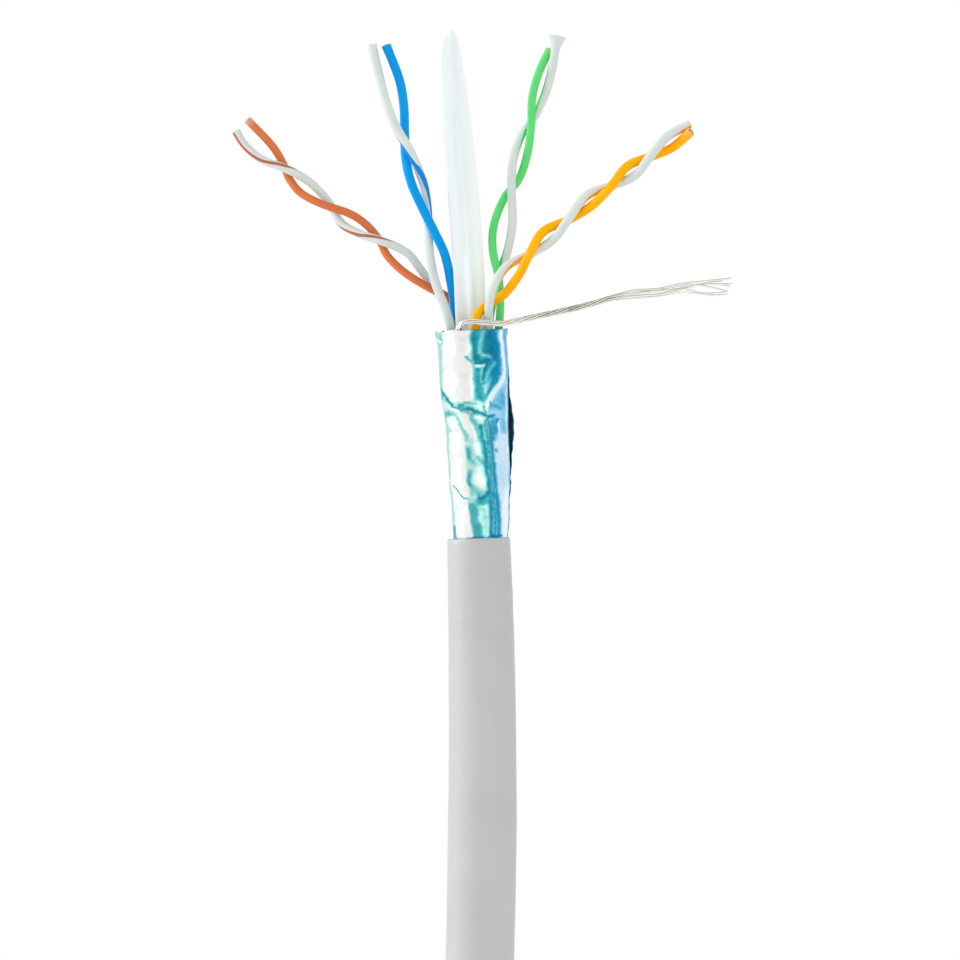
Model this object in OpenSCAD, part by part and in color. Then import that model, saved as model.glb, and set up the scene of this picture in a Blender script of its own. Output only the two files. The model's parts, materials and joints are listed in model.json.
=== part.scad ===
// Stripped end of a foil screened four pair data cable, about 115 mm tall.
// Frame: +Z up along the cable's straight bottom stretch, +X to the right, +Y away from the viewer.
// The origin is the centre of the jacket's bottom cut, where the cable is gripped.

/* [Wires] */
// Outside diameter of one insulated wire
wire_d = 1; // [0.9:0.02:1.1]
// Diameter of the solid copper conductor
conductor_d = 0.56; // [0.4:0.02:0.6]
// Length of one full twist of the blue pair
blue_lay = 14; // [10:0.5:18]
// Length of one full twist of the orange pair
orange_lay = 12; // [10:0.5:18]
// Length of one full twist of the green pair
green_lay = 15; // [10:0.5:18]
// Length of one full twist of the brown pair
brown_lay = 13; // [10:0.5:18]
// Width of the white and green wire's pinched cut end
pinch_w = 1.8; // [1.1:0.1:2.2]
// Thickness of that pinched end
pinch_t = 0.6; // [0.55:0.05:0.9]

/* [Separator] */
// Thickness of the separator's four webs
web_t = 0.35; // [0.25:0.05:0.5]
// Reach of each web from the middle of the separator
web_reach = 1.75; // [1.3:0.05:1.9]
// Radius of the fillets between the webs
web_fillet = 0.25; // [0.1:0.05:0.4]
// Turn of the separator about the cable's line
web_turn = 20; // [10:1:28]
// Length of separator that stands above the foil
separator_free_len = 32.2; // [24:0.2:40]
// Lean of that free length to the left, beyond the cable's own
separator_lean = 2.8; // [0.5:0.1:4]
// Radius of the bend into that lean
separator_bend_r = 300; // [160:20:320]

/* [Drain wire] */
// Diameter of each tinned strand
strand_d = 0.18; // [0.14:0.01:0.2]
// Length of one full twist of the strands
strand_lay = 10; // [8:0.5:16]

/* [Foil screen] */
// Thickness of the foil tape
tape_t = 0.08; // [0.05:0.01:0.12]
// Angle over which the tape overlaps itself
overlap_angle = 60; // [30:5:120]
// Length of foil that stands out of the jacket
foil_len = 22.2; // [20:0.2:26]
// Growth of the foil's radius from the jacket to its loosened rim
foil_flare = 0.75; // [0.65:0.05:1]

/* [Jacket] */
// Wall of the jacket
jacket_wall = 0.5; // [0.35:0.05:0.8]
// Length of jacket, along its middle line
jacket_len = 61; // [50:1:70]
// Straight length at the bottom, where a clamp or gland holds
grip_len = 11; // [8:1:14]
// Radius of the first bend, to the right
right_bend_r = 160; // [120:10:200]
// Angle of the first bend
right_bend = 1.7; // [1:0.1:2.5]
// Angle of the long second bend, to the left
left_bend = 3.7; // [3:0.1:4.5]

/* [Clearances] */
// Gap between neighbouring wires, webs and strands
wire_gap = 0.02; // [0.01:0.01:0.05]
// Gap between the core, the foil and the jacket
layer_gap = 0.02; // [0.01:0.01:0.05]

/* [Hidden] */
$fn = 96;
long_bend_fn = 720;
RIGHT = 0; // quadrants of the separator, counted from the first one on the right
BACK = 1;
LEFT = 2;
FRONT = 3;
wire_sides = 8;
bore_sides = 5;
strand_sides = 4;
rings_per_lay = 6;
lap_step = 0.01;
lap_len = 0.5;
fan_start = 9; // the pairs leave their places in the core this far below the foil's rim

// Sizes that follow from the wires outwards
chord_factor = 1 / cos(180 / rings_per_lay); // keeps the straight steps of a twist clear of each other
twist_r = (wire_d + wire_gap) / 2 * chord_factor;
pair_r = twist_r + wire_d / 2;
pair_offset = sqrt(2) * (web_t / 2 + wire_gap + pair_r);
core_r = pair_offset + pair_r;
foil_in_r = core_r + layer_gap;
foil_out_r = foil_in_r + tape_t;
jacket_in_r = foil_out_r + tape_t + layer_gap;
jacket_r = jacket_in_r + jacket_wall;
strand_ring_r = (strand_d + wire_gap) * chord_factor;
drain_r = strand_ring_r + strand_d / 2;
drain_offset = foil_in_r - layer_gap - drain_r;

// The cable's middle line: straight, a short bend to the right, a long one to the left, then straight
right_bend_len = right_bend_r * right_bend * PI / 180;
left_bend_len = jacket_len - grip_len - right_bend_len;
left_bend_r = left_bend_len * 180 / (PI * left_bend);
core_lean = left_bend - right_bend;
core_len = jacket_len + foil_len - fan_start;
right_bend_end = [right_bend_r * (1 - cos(right_bend)), grip_len + right_bend_r * sin(right_bend)];
jacket_end =
  right_bend_end + left_bend_r * [cos(core_lean) - cos(right_bend), sin(right_bend) + sin(core_lean)];
rim_centre = jacket_end + foil_len * [-sin(core_lean), cos(core_lean)];

// Lean of the middle line to the right, at the length s along it
function lean(s) =
  s < grip_len ? 0 :
  s < grip_len + right_bend_len ? (s - grip_len) * right_bend / right_bend_len :
  s < jacket_len ? right_bend - (s - grip_len - right_bend_len) * left_bend / left_bend_len :
  -core_lean;
function middle(s) =
  s < grip_len ? [0, s] :
  s < grip_len + right_bend_len ? [right_bend_r * (1 - cos(lean(s))), grip_len + right_bend_r * sin(lean(s))] :
  s < jacket_len
    ? right_bend_end + left_bend_r * [cos(lean(s)) - cos(right_bend), sin(right_bend) - sin(lean(s))]
    : jacket_end + (s - jacket_len) * [-sin(core_lean), cos(core_lean)];
// A point at the length s along the cable, offset by p in the cable's cross-section
function in_cable(s, p) = let (m = middle(s), a = lean(s)) [m.x + p.x * cos(a), p.y, m.y - p.x * sin(a)];
function polar(r, a) = r * [cos(a), sin(a)];
function quadrant_angle(q) = web_turn - 45 + 90 * q;

// Twisted stretch of one wire inside the core; side is 0 or 180, for the two wires of a pair
function core_route(q, lay, end_angle, side) =
  let (n = ceil(core_len * rings_per_lay / lay))
  [for (i = [0:n])
    let (s = i * core_len / n, a = end_angle + side + 360 * (core_len - s) / lay)
    in_cable(s, polar(pair_offset, quadrant_angle(q)) + polar(twist_r, a))];

// A smooth curve through points: every span of the list is cut into steps
function on_curve(p0, p1, p2, p3, t) =
  p1 + (p2 - p0) * t / 2 + (p0 - 2.5 * p1 + 2 * p2 - p3 / 2) * t * t
  + (1.5 * p1 - p0 / 2 - 1.5 * p2 + p3 / 2) * t * t * t;
function smooth_route(before, points, steps) =
  let (all = concat(before, points), first = len(before) - 1, last = len(all) - 1)
  concat(
    before,
    [for (i = [first:last - 1]) for (j = [1:steps])
      on_curve(all[max(i - 1, 0)], all[i], all[i + 1], all[min(i + 2, last)], j / steps)]
  );

// Rings across a route: n points at the radius r, widened along the viewed side and thinned in depth
function unit(v) = v / norm(v);
function tangent(route, i) = unit(route[min(i + 1, len(route) - 1)] - route[max(i - 1, 0)]);
function ring(route, i, r, n, squeeze = [1, 1]) =
  let (t = tangent(route, i), across = unit(cross([0, 1, 0], t)), depth = cross(t, across))
  [for (k = [0:n - 1])
    let (p = polar(r, 360 * k / n)) route[i] + squeeze[0] * p.x * across + squeeze[1] * p.y * depth];
function tube_points(route, r, n, squeeze_end) =
  [for (i = [0:len(route) - 1]) each ring(route, i, r, n, i == len(route) - 1 ? squeeze_end : [1, 1])];
function side_faces(rings, n, first, inward) =
  [for (i = [0:rings - 2], k = [0:n - 1])
    let (
      a = first + i * n + k,
      b = first + i * n + (k + 1) % n,
      split = [[a, a + n, b], [b, a + n, b + n]]
    )
    each inward ? [for (f = split) [f[2], f[1], f[0]]] : split];
function flipped(faces) = [for (f = faces) [f[2], f[1], f[0]]];
function disc_faces(first, n) = [for (k = [1:n - 2]) [first, first + k, first + k + 1]];
// Flat ring between n outer points and m inner points
function washer_faces(outer, n, inner, m) =
  [for (k = [0:n - 1])
    let (q = floor(k * m / n + 0.5), q_next = floor((k + 1) * m / n + 0.5))
    each concat(
      [[outer + k, outer + (k + 1) % n, inner + q % m]],
      q_next > q ? [[outer + (k + 1) % n, inner + q_next % m, inner + q % m]] : []
    )];
// Radius that gives a polygon of n corners the area of the round section it stands for
function equal_area_r(d, n) = d / 2 * sqrt(2 * PI / n / sin(360 / n));

module rod(route, r, n, squeeze_end = [1, 1]) {
  rings = len(route);
  polyhedron(
    tube_points(route, r, n, squeeze_end),
    concat(disc_faces(0, n), side_faces(rings, n, 0, false), flipped(disc_faces((rings - 1) * n, n)))
  );
}
module tube(route, outer_r, n, inner_r, m, outer_squeeze = [1, 1], inner_squeeze = [1, 1]) {
  rings = len(route);
  first_inner = rings * n;
  polyhedron(
    concat(tube_points(route, outer_r, n, outer_squeeze), tube_points(route, inner_r, m, inner_squeeze)),
    concat(
      washer_faces(0, n, first_inner, m),
      side_faces(rings, n, 0, false),
      side_faces(rings, m, first_inner, true),
      flipped(washer_faces((rings - 1) * n, n, first_inner + (rings - 1) * m, m))
    )
  );
}

// Free stretches of the wires, fanned out by hand from just below the foil's rim to their cut ends.
// Points are in wire diameters from the centre of the rim, so thicker wires stay as clear of each other.
white_blue_fan = [
  [-1.1, 1.1, -6.3], [-1.1, 0.4, -3.4], [-2, 0.1, -0.2], [-2.8, 0.1, 2.4], [-3.8, 0.2, 5],
  [-4.4, 0.3, 7.8], [-4.6, 0.3, 10.5], [-4.7, 0.1, 13.1], [-5.2, -0.5, 16], [-6.5, -1.8, 19],
  [-8, -2, 21.6], [-9.1, -1.9, 24.3], [-9.8, -1.9, 27], [-10.6, -2, 30.4]
];
blue_fan = [
  [-1.9, 0.3, -6.3], [-2.1, 1, -3.4], [-1.7, 1.2, -0.2], [-1.8, 1.1, 2.4], [-2.2, 0.8, 5.2],
  [-2.8, 0.2, 8], [-3.9, -0.6, 10.4], [-5.2, -1.1, 13], [-6.4, -1.2, 15.7], [-7, -0.7, 18.4],
  [-7.1, -0.6, 21.2], [-7.2, -0.9, 24], [-7.7, -1.4, 26.8], [-9.1, -1.9, 30.4]
];
white_orange_fan = [
  [0, -1.6, -7.3], [0.2, -2.3, -5.7], [1, -2.4, -3.2], [1.8, -2.2, 0], [1.9, -3, 2.6],
  [2.4, -3, 4.7], [3.8, -2.6, 6.8], [6.3, -2.4, 8.1], [8.7, -3.3, 9.6], [10.4, -4.1, 11.9],
  [12.3, -3.8, 14.3], [14.9, -3.5, 15.3], [17.4, -4.5, 16.4], [19, -5.3, 18.4], [20.9, -5.2, 20.6],
  [23.3, -4.8, 21.8]
];
orange_fan = [
  [-1, -2, -7.3], [-0.8, -1.9, -5.7], [-0.1, -2.4, -3.2], [0.4, -2.6, 0], [0.7, -2.5, 1.7],
  [2.1, -1.6, 2.9], [3.6, -2.2, 3.9], [5.1, -3.2, 5.9], [6.3, -3.6, 8.3], [7.7, -3.2, 10.5],
  [10.3, -2.7, 11.7], [12.8, -3.9, 13.2], [14.9, -4.8, 15.3], [16.6, -4.4, 17.4], [19, -4, 18.4],
  [21.4, -4.6, 19.4], [23.4, -5.7, 21.1]
];
white_green_fan = [
  [2.7, -0.8, -5.7], [2.5, -1, -3.2], [1.9, -0.4, -0.1], [2.2, 0.4, 2.8], [2.9, 0.9, 5.7],
  [3.9, 1, 8.6], [4.4, 1.2, 11.6], [4.3, 1.3, 14.8], [4.4, 1.9, 17.8], [5.2, 2.9, 20.6],
  [6.7, 3.3, 22.8], [7.9, 3.2, 25.3], [8.6, 3.1, 27.8], [9, 3, 30.2], [9.2, 3, 31.5]
];
green_fan = [
  [1.5, -0.4, -5.7], [2.4, 0.1, -3.2], [2.9, 0.1, -0.1], [3.1, -0.4, 2.8], [2.9, -0.3, 5.7],
  [2.3, 0.7, 8.5], [2.4, 1.8, 11.2], [3.5, 2.4, 14.1], [5.1, 2.5, 16.2], [6, 2.2, 18.9],
  [6.4, 2.1, 22], [6.5, 2.3, 24.8], [7.2, 3, 27.5], [8.4, 4, 30.1]
];
white_brown_fan = [
  [0.1, 2.2, -5.7], [-0.2, 2.6, -3.2], [-1.2, 2.6, -0.3], [-2.4, 3.1, 2.2], [-4, 3.6, 4.5],
  [-5.6, 3.5, 6.8], [-7, 3.2, 8.4], [-9.7, 3, 9.6], [-12.1, 3.6, 10.4], [-14, 4.5, 11.6],
  [-15.3, 4.9, 13.8], [-17.3, 4.8, 15.9], [-19.8, 4.3, 17.3], [-22.4, 4.8, 18.3], [-24.2, 5.3, 19.8],
  [-25.2, 5.5, 21.4]
];
brown_fan = [
  [1.3, 1.5, -5.7], [0.8, 2.2, -3.2], [-0.1, 2.3, -0.3], [-1.1, 2.5, 1.8], [-2.6, 2.4, 3.6],
  [-4.4, 2.5, 4.5], [-7, 3.1, 6.1], [-8.9, 3.9, 7.9], [-9.8, 4.2, 9.6], [-11.1, 4.1, 11.2],
  [-13, 3.9, 12.5], [-15.9, 3.8, 13.5], [-18.2, 4.3, 14.7], [-19.5, 5.3, 16.3], [-20.1, 5.5, 17.8],
  [-21.4, 5.5, 19.9], [-24, 5.5, 22.6]
];

// Each pair: its quadrant, its lay and the angle of its coloured wire where the core ends
blue_pair = [LEFT, blue_lay, 290];
orange_pair = [FRONT, orange_lay, 253];
green_pair = [RIGHT, green_lay, 245];
brown_pair = [BACK, brown_lay, 57];
function from_rim(points) = [for (p = points) [rim_centre.x, 0, rim_centre.y] + wire_d * p];
function coloured_route(pair, fan) = smooth_route(core_route(pair[0], pair[1], pair[2], 0), from_rim(fan), 2);
function white_route(pair, fan) = smooth_route(core_route(pair[0], pair[1], pair[2], 180), from_rim(fan), 2);

module insulation(route, shade, outer_end = [1, 1], bore_end = [1, 1]) {
  color(shade)
    tube(route, wire_d / 2, wire_sides, equal_area_r(conductor_d, bore_sides), bore_sides, outer_end, bore_end);
}
module conductor(route, squeeze_end = [1, 1]) {
  color("peru") rod(route, equal_area_r(conductor_d, bore_sides), bore_sides, squeeze_end);
}

// Drain wire: six strands around a seventh, in the gap beyond the left web, then splayed
drain_fan = [
  [-2.2, -1.1, -5.7], [-2, -2, -2.7], [-1.4, -3, -0.1], [-0.6, -3.5, 0.9], [1.3, -3.7, 0.8],
  [3.6, -3.7, 0.7], [5.9, -3.5, 1.2], [9.2, -3.2, 1.9], [12.6, -2.9, 2.7], [14.6, -2.7, 3.3]
];
// Free end of each strand beyond the bundle, the middle strand first
strand_ends = [
  [[17.3, -2.6, 3.8], [20.2, -2.4, 4.1], [23.1, -2.3, 4.5], [25.1, -2.2, 5], [26.8, -2.1, 5.2]],
  [[17.2, -2.1, 3.6], [20.4, -1.8, 3.9], [23.1, -1.5, 4.7], [25.6, -1.5, 4.9], [27.5, -1.6, 4.7]],
  [[17.1, -2.3, 3.9], [20.1, -2.1, 4.3], [22.9, -1.9, 4.3], [24.9, -1.9, 3.9], [27.4, -2, 4.1]],
  [[17.3, -2.8, 4.2], [20, -2.9, 4.4], [22.2, -3, 4.9], [25, -3, 5.2], [27.7, -3.1, 5.5]],
  [[17.2, -3.2, 3.9], [20.2, -3.4, 4.2], [23, -3.4, 4.8], [25.2, -3.4, 4.6], [27.2, -3.5, 4.1]],
  [[17.5, -3, 3.6], [20.3, -3.1, 3.8], [22.2, -2.7, 4.2], [24.4, -2.6, 4.8], [27.8, -2.8, 4.9]],
  [[17.5, -2.5, 3.4], [20.1, -2.7, 3.6], [22.7, -2.3, 4], [25.4, -2.4, 3.7], [27.3, -2.5, 3.8]]
];
strand_end_angle = 344; // turn of the bundle where the strands part
drain_core_steps = ceil(core_len * rings_per_lay / strand_lay);
drain_middle = smooth_route(
  [for (i = [0:drain_core_steps])
    in_cable(i * core_len / drain_core_steps, polar(drain_offset, 180 + web_turn))],
  from_rim(drain_fan), 2
);
function left_to_go(i) =
  i == len(drain_middle) - 1 ? 0 : left_to_go(i + 1) + norm(drain_middle[i + 1] - drain_middle[i]);
function strand_offset(k, left) =
  k == 0 ? [0, 0] : polar(strand_ring_r, strand_end_angle + 60 * k + 360 * left / strand_lay);
function strand_route(k) =
  let (
    bundled = [for (i = [0:len(drain_middle) - 1])
      let (
        t = tangent(drain_middle, i),
        across = unit(cross([0, 1, 0], t)),
        p = strand_offset(k, left_to_go(i))
      )
      drain_middle[i] + p.x * across + p.y * cross(t, across)]
  )
  smooth_route(bundled, from_rim(strand_ends[k]), 2);
module drain_strand(k) {
  color("gainsboro") rod(strand_route(k), strand_d / 2, strand_sides);
}

// Sections drawn in the cable's cross-section and carried along its middle line.
// Each frame is reached from the one before it, in whole millimetres first, so that the ends meet exactly.
module bend_to_left(r, angle) {
  translate([-r, 0, 0]) rotate([90, 0, 0]) rotate_extrude(angle = angle, $fn = long_bend_fn) translate([r, 0])
    mirror([0, 1]) children();
}
module bend_to_right(r, angle) {
  mirror([1, 0, 0]) bend_to_left(r, angle) mirror([1, 0, 0]) children();
}
module place(x, z) {
  translate([floor(x), 0, floor(z)]) translate([x - floor(x), 0, z - floor(z)]) children();
}
module after_right_bend() {
  translate([0, 0, grip_len])
    place(right_bend_r * (1 - cos(right_bend)), right_bend_r * sin(right_bend))
    rotate([0, right_bend, 0]) children();
}
module after_left_bend(r, angle) {
  place(-r * (1 - cos(angle)), r * sin(angle)) rotate([0, -angle, 0]) children();
}
module at_jacket_end() {
  after_right_bend() after_left_bend(left_bend_r, left_bend) children();
}
module along_jacket() {
  linear_extrude(grip_len) children();
  translate([0, 0, grip_len]) bend_to_right(right_bend_r, right_bend) children();
  after_right_bend() bend_to_left(left_bend_r, left_bend) children();
}
module annulus(outer_r, inner_r) {
  difference() {
    circle(outer_r);
    circle(inner_r);
  }
}

module jacket() {
  color("silver") along_jacket() annulus(jacket_r, jacket_in_r);
}

// Cross shaped separator with a pointed free end
module web_pair() {
  square([2 * web_reach - web_t, web_t], center = true);
  for (side = [-1, 1]) translate([side * (web_reach - web_t / 2), 0]) circle(web_t / 2);
}
module separator_section() {
  rotate(web_turn) {
    web_pair();
    rotate(90) web_pair();
    difference() {
      square(web_t + 2 * web_fillet, center = true);
      for (x = [-1, 1], y = [-1, 1]) translate([x, y] * (web_t / 2 + web_fillet)) circle(web_fillet);
    }
  }
}
// Outline of the pointed end, as shares of a web's reach: sideways, and down from the tip
tip_outline = [
  [1.1, 8], [0.74, 4], [0.5, 0.86], [0.3, 0.23], [0, 0], [-0.35, 0.23], [-0.65, 0.8], [-0.87, 2.2], [-1.1, 4.6]
];
separator_straight_len = separator_free_len - separator_bend_r * separator_lean * PI / 180;
module separator() {
  color("whitesmoke") {
    along_jacket() separator_section();
    at_jacket_end() {
      linear_extrude(foil_len) separator_section();
      translate([0, 0, foil_len]) {
        bend_to_left(separator_bend_r, separator_lean) separator_section();
        after_left_bend(separator_bend_r, separator_lean) intersection() {
          linear_extrude(separator_straight_len) separator_section();
          rotate([90, 0, 0]) linear_extrude(4 * web_reach, center = true) polygon(concat(
            [[-1.1 * web_reach, -web_reach], [1.1 * web_reach, -web_reach]],
            [for (p = tip_outline) [0, separator_straight_len] + web_reach * [p.x, -p.y]]
          ));
        }
      }
    }
  }
}

// Foil tape, wrapped lengthwise with an overlap, snug in the jacket and loosened towards its rim
module overlap_wedge(r) {
  polygon([[0, 0], polar(r, -overlap_angle / 2), polar(r * 1.2, 0), polar(r, overlap_angle / 2)]);
}
module foil_section() {
  annulus(foil_out_r, foil_in_r);
  intersection() {
    annulus(foil_out_r + tape_t, foil_in_r);
    overlap_wedge(2 * foil_out_r);
  }
}
// Share of the flare reached at each share of the exposed length
flare_steps = [[0, 0], [0.15, 0.06], [0.28, 0.25], [0.48, 0.6], [0.68, 0.78], [1, 1]];
// The loosened stretch starts a little inside the jacket and a hair wider, so that both stretches join
function foil_wall(inside, outside) = concat(
  [[inside + lap_step, -lap_len]],
  [for (f = flare_steps) [inside + lap_step + f[1] * foil_flare, f[0] * foil_len]],
  [for (i = [len(flare_steps) - 1:-1:0])
    [outside + lap_step + flare_steps[i][1] * foil_flare, flare_steps[i][0] * foil_len]],
  [[outside + lap_step, -lap_len]]
);
module foil_screen() {
  color("lightsteelblue") {
    along_jacket() foil_section();
    at_jacket_end() {
      rotate_extrude() polygon(foil_wall(foil_in_r, foil_out_r));
      rotate([0, 0, -overlap_angle / 2]) rotate_extrude(angle = overlap_angle)
        polygon(foil_wall(foil_in_r, foil_out_r + tape_t));
    }
  }
}

blue_route = coloured_route(blue_pair, blue_fan);
white_blue_route = white_route(blue_pair, white_blue_fan);
orange_route = coloured_route(orange_pair, orange_fan);
white_orange_route = white_route(orange_pair, white_orange_fan);
green_route = coloured_route(green_pair, green_fan);
white_green_route = white_route(green_pair, white_green_fan);
brown_route = coloured_route(brown_pair, brown_fan);
white_brown_route = white_route(brown_pair, white_brown_fan);
pinch = [pinch_w, pinch_t] / wire_d;
core_pinch = [pinch_t, pinch_t] / wire_d;

jacket();
foil_screen();
separator();
insulation(blue_route, "dodgerblue");  // blue_insulation
insulation(white_blue_route, "aliceblue");  // white_blue_insulation
insulation(orange_route, "orange");  // orange_insulation
insulation(white_orange_route, "linen");  // white_orange_insulation
insulation(green_route, "lightgreen");  // green_insulation
insulation(white_green_route, "honeydew", pinch, core_pinch);  // white_green_insulation
insulation(brown_route, "chocolate");  // brown_insulation
insulation(white_brown_route, "seashell");  // white_brown_insulation
conductor(blue_route);  // blue_conductor
conductor(white_blue_route);  // white_blue_conductor
conductor(orange_route);  // orange_conductor
conductor(white_orange_route);  // white_orange_conductor
conductor(green_route);  // green_conductor
conductor(white_green_route, core_pinch);  // white_green_conductor
conductor(brown_route);  // brown_conductor
conductor(white_brown_route);  // white_brown_conductor
drain_strand(0);  // drain_strand_1
drain_strand(1);  // drain_strand_2
drain_strand(2);  // drain_strand_3
drain_strand(3);  // drain_strand_4
drain_strand(4);  // drain_strand_5
drain_strand(5);  // drain_strand_6
drain_strand(6);  // drain_strand_7
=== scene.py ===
# Stripped end of a foil screened four pair data cable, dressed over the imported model.
import json
import math
import bmesh
import bpy
import numpy as np
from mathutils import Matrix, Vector, noise

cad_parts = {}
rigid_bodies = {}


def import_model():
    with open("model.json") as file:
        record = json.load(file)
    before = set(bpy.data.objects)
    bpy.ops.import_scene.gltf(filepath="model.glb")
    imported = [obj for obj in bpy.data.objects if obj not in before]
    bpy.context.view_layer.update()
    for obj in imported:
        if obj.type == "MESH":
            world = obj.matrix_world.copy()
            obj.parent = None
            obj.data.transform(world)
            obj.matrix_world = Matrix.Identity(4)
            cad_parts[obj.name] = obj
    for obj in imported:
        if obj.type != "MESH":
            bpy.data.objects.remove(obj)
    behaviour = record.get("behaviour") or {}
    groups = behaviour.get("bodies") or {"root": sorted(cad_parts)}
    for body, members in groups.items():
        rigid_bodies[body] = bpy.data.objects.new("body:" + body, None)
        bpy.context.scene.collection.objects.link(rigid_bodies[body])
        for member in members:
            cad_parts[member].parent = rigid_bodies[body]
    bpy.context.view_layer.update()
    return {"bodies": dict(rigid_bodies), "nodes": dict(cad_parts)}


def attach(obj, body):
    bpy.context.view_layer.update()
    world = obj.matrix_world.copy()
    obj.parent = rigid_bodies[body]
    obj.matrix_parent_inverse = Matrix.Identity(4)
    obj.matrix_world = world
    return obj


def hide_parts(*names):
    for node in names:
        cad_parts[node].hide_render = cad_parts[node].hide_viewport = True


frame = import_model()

mm = 0.001
print("frame loaded:", len(frame["nodes"]), "nodes")

# The camera comes first, then the cable's own line; lengths in millimetres
camera = {"distance": 1600, "height": 67.2, "aside": 0.107, "widthSeen": 102.4, "farthest": 10000}


def makeCamera(sizes):
    lens = bpy.data.cameras.new("viewer")
    lens.angle = 2 * math.atan(sizes["widthSeen"] / 2 / sizes["distance"])
    lens.clip_end = sizes["farthest"] * mm
    viewer = bpy.data.objects.new("viewer", lens)
    viewer.location = (sizes["aside"] * mm, -sizes["distance"] * mm, sizes["height"] * mm)
    viewer.rotation_euler = (math.radians(90), 0, 0)
    bpy.context.scene.collection.objects.link(viewer)
    bpy.context.scene.camera = viewer


makeCamera(camera)

# Lengths in millimetres and angles in degrees, as in the part's source
cable = {
    "jacketLength": 61, "gripLength": 11, "rightBendRadius": 160, "rightBend": 1.7, "leftBend": 3.7,
    "foilLength": 22.2, "fanStart": 9, "jacketRadius": 3.6046, "jacketBore": 3.1046,
    "webTurn": 20, "pairOffset": 1.8157, "twistRadius": 0.5889, "drainOffset": 2.5837,
    # at the jacket's mouth the whole core sits a little to the right: how far, how high up, over what length
    "sway": (0.17, 2, 5), "pathSteps": 60,
}
rightBend = math.radians(cable["rightBend"])
rightBendLength = cable["rightBendRadius"] * rightBend
leftBendLength = cable["jacketLength"] - cable["gripLength"] - rightBendLength
leftBendRadius = leftBendLength / math.radians(cable["leftBend"])
coreLean = math.radians(cable["leftBend"] - cable["rightBend"])
coreLength = cable["jacketLength"] + cable["foilLength"] - cable["fanStart"]


# Lean of the middle line to the right, in radians, at the length s along it
def lean(s):
    bent = s - cable["gripLength"]
    if bent < 0:
        return 0.0
    if bent < rightBendLength:
        return bent / cable["rightBendRadius"]
    if s < cable["jacketLength"]:
        return rightBend - (bent - rightBendLength) / leftBendRadius
    return -coreLean


# The middle line at the length s along it: how far to the right, and how high
def middle(s):
    grip, radius = cable["gripLength"], cable["rightBendRadius"]
    if s < grip:
        return 0.0, s
    a = lean(s)
    if s < grip + rightBendLength:
        return radius * (1 - math.cos(a)), grip + radius * math.sin(a)
    x = radius * (1 - math.cos(rightBend)) + leftBendRadius * (math.cos(a) - math.cos(rightBend))
    z = grip + radius * math.sin(rightBend) + leftBendRadius * (math.sin(rightBend) - math.sin(a))
    beyond = max(0.0, s - cable["jacketLength"])
    return x - beyond * math.sin(coreLean), z + beyond * math.cos(coreLean)


# A point at the length s along the cable, offset by x, y in its cross-section, in millimetres
def inCable(s, x, y):
    mx, mz = middle(s)
    return Vector((mx + x * math.cos(lean(s)), y, mz - x * math.sin(lean(s))))


def sway(s):
    aside, above, over = cable["sway"]
    return aside * math.exp(-((s - cable["jacketLength"] - above) / over) ** 2)


rimX, rimZ = middle(cable["jacketLength"] + cable["foilLength"])


# Adds a node. Its inputs, by name or number, take numbers, colours or other nodes' outputs.
def addNode(tree, kind, inputs, **settings):
    node = tree.nodes.new(kind)
    for name, value in settings.items():
        setattr(node, name, value)
    for name, value in inputs.items():
        socket = node.inputs[name]
        if isinstance(value, bpy.types.NodeSocket):
            tree.links.new(value, socket)
        else:
            socket.default_value = (*value, 1) if socket.type == "RGBA" else value
    return node


# Helpers for shaders
def plainMaterial(name, slot, **shaderValues):
    material = bpy.data.materials.new(name)
    material.use_nodes = True
    if slot:
        material["slot"] = slot
    tree = material.node_tree
    shader = tree.nodes["Principled BSDF"]
    for name, value in shaderValues.items():
        socket = shader.inputs[name.replace("_", " ")]
        socket.default_value = (*value, 1) if socket.type == "RGBA" else value
    return material, tree, shader


def objectPlace(tree, stretch=(1, 1, 1)):
    coords = addNode(tree, "ShaderNodeTexCoord", {})
    mapping = addNode(tree, "ShaderNodeMapping", {"Vector": coords.outputs["Object"], "Scale": stretch})
    return mapping.outputs[0]


def noiseTexture(tree, place, scale, detail, roughness=0.5):
    return addNode(tree, "ShaderNodeTexNoise", {"Vector": place, "Scale": scale, "Detail": detail,
                                                "Roughness": roughness}).outputs["Fac"]


def ramp(tree, source, stops):
    node = addNode(tree, "ShaderNodeValToRGB", {"Fac": source})
    while len(node.color_ramp.elements) < len(stops):
        node.color_ramp.elements.new(0.5)
    for element, (position, color) in zip(node.color_ramp.elements, stops):
        element.position = position
        element.color = (*color, 1)
    return node.outputs["Color"]


def mixColors(tree, factor, first, second):
    return addNode(tree, "ShaderNodeMix", {0: factor, 6: first, 7: second}, data_type="RGBA").outputs[2]


def mapRange(tree, source, fromLow, fromHigh, toLow, toHigh, smooth=False):
    inputs = {"Value": source, 1: fromLow, 2: fromHigh, 3: toLow, 4: toHigh}
    return addNode(tree, "ShaderNodeMapRange", inputs,
                   interpolation_type="SMOOTHSTEP" if smooth else "LINEAR").outputs["Result"]


def combine(tree, operation, first, second):
    return addNode(tree, "ShaderNodeMath", {0: first, 1: second}, operation=operation).outputs[0]


def attribute(tree, name):
    return addNode(tree, "ShaderNodeAttribute", {}, attribute_name=name).outputs["Fac"]


def shaded(color, factor, lift=0):
    return tuple(min(1.0, c * factor + lift) for c in color)


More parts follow.
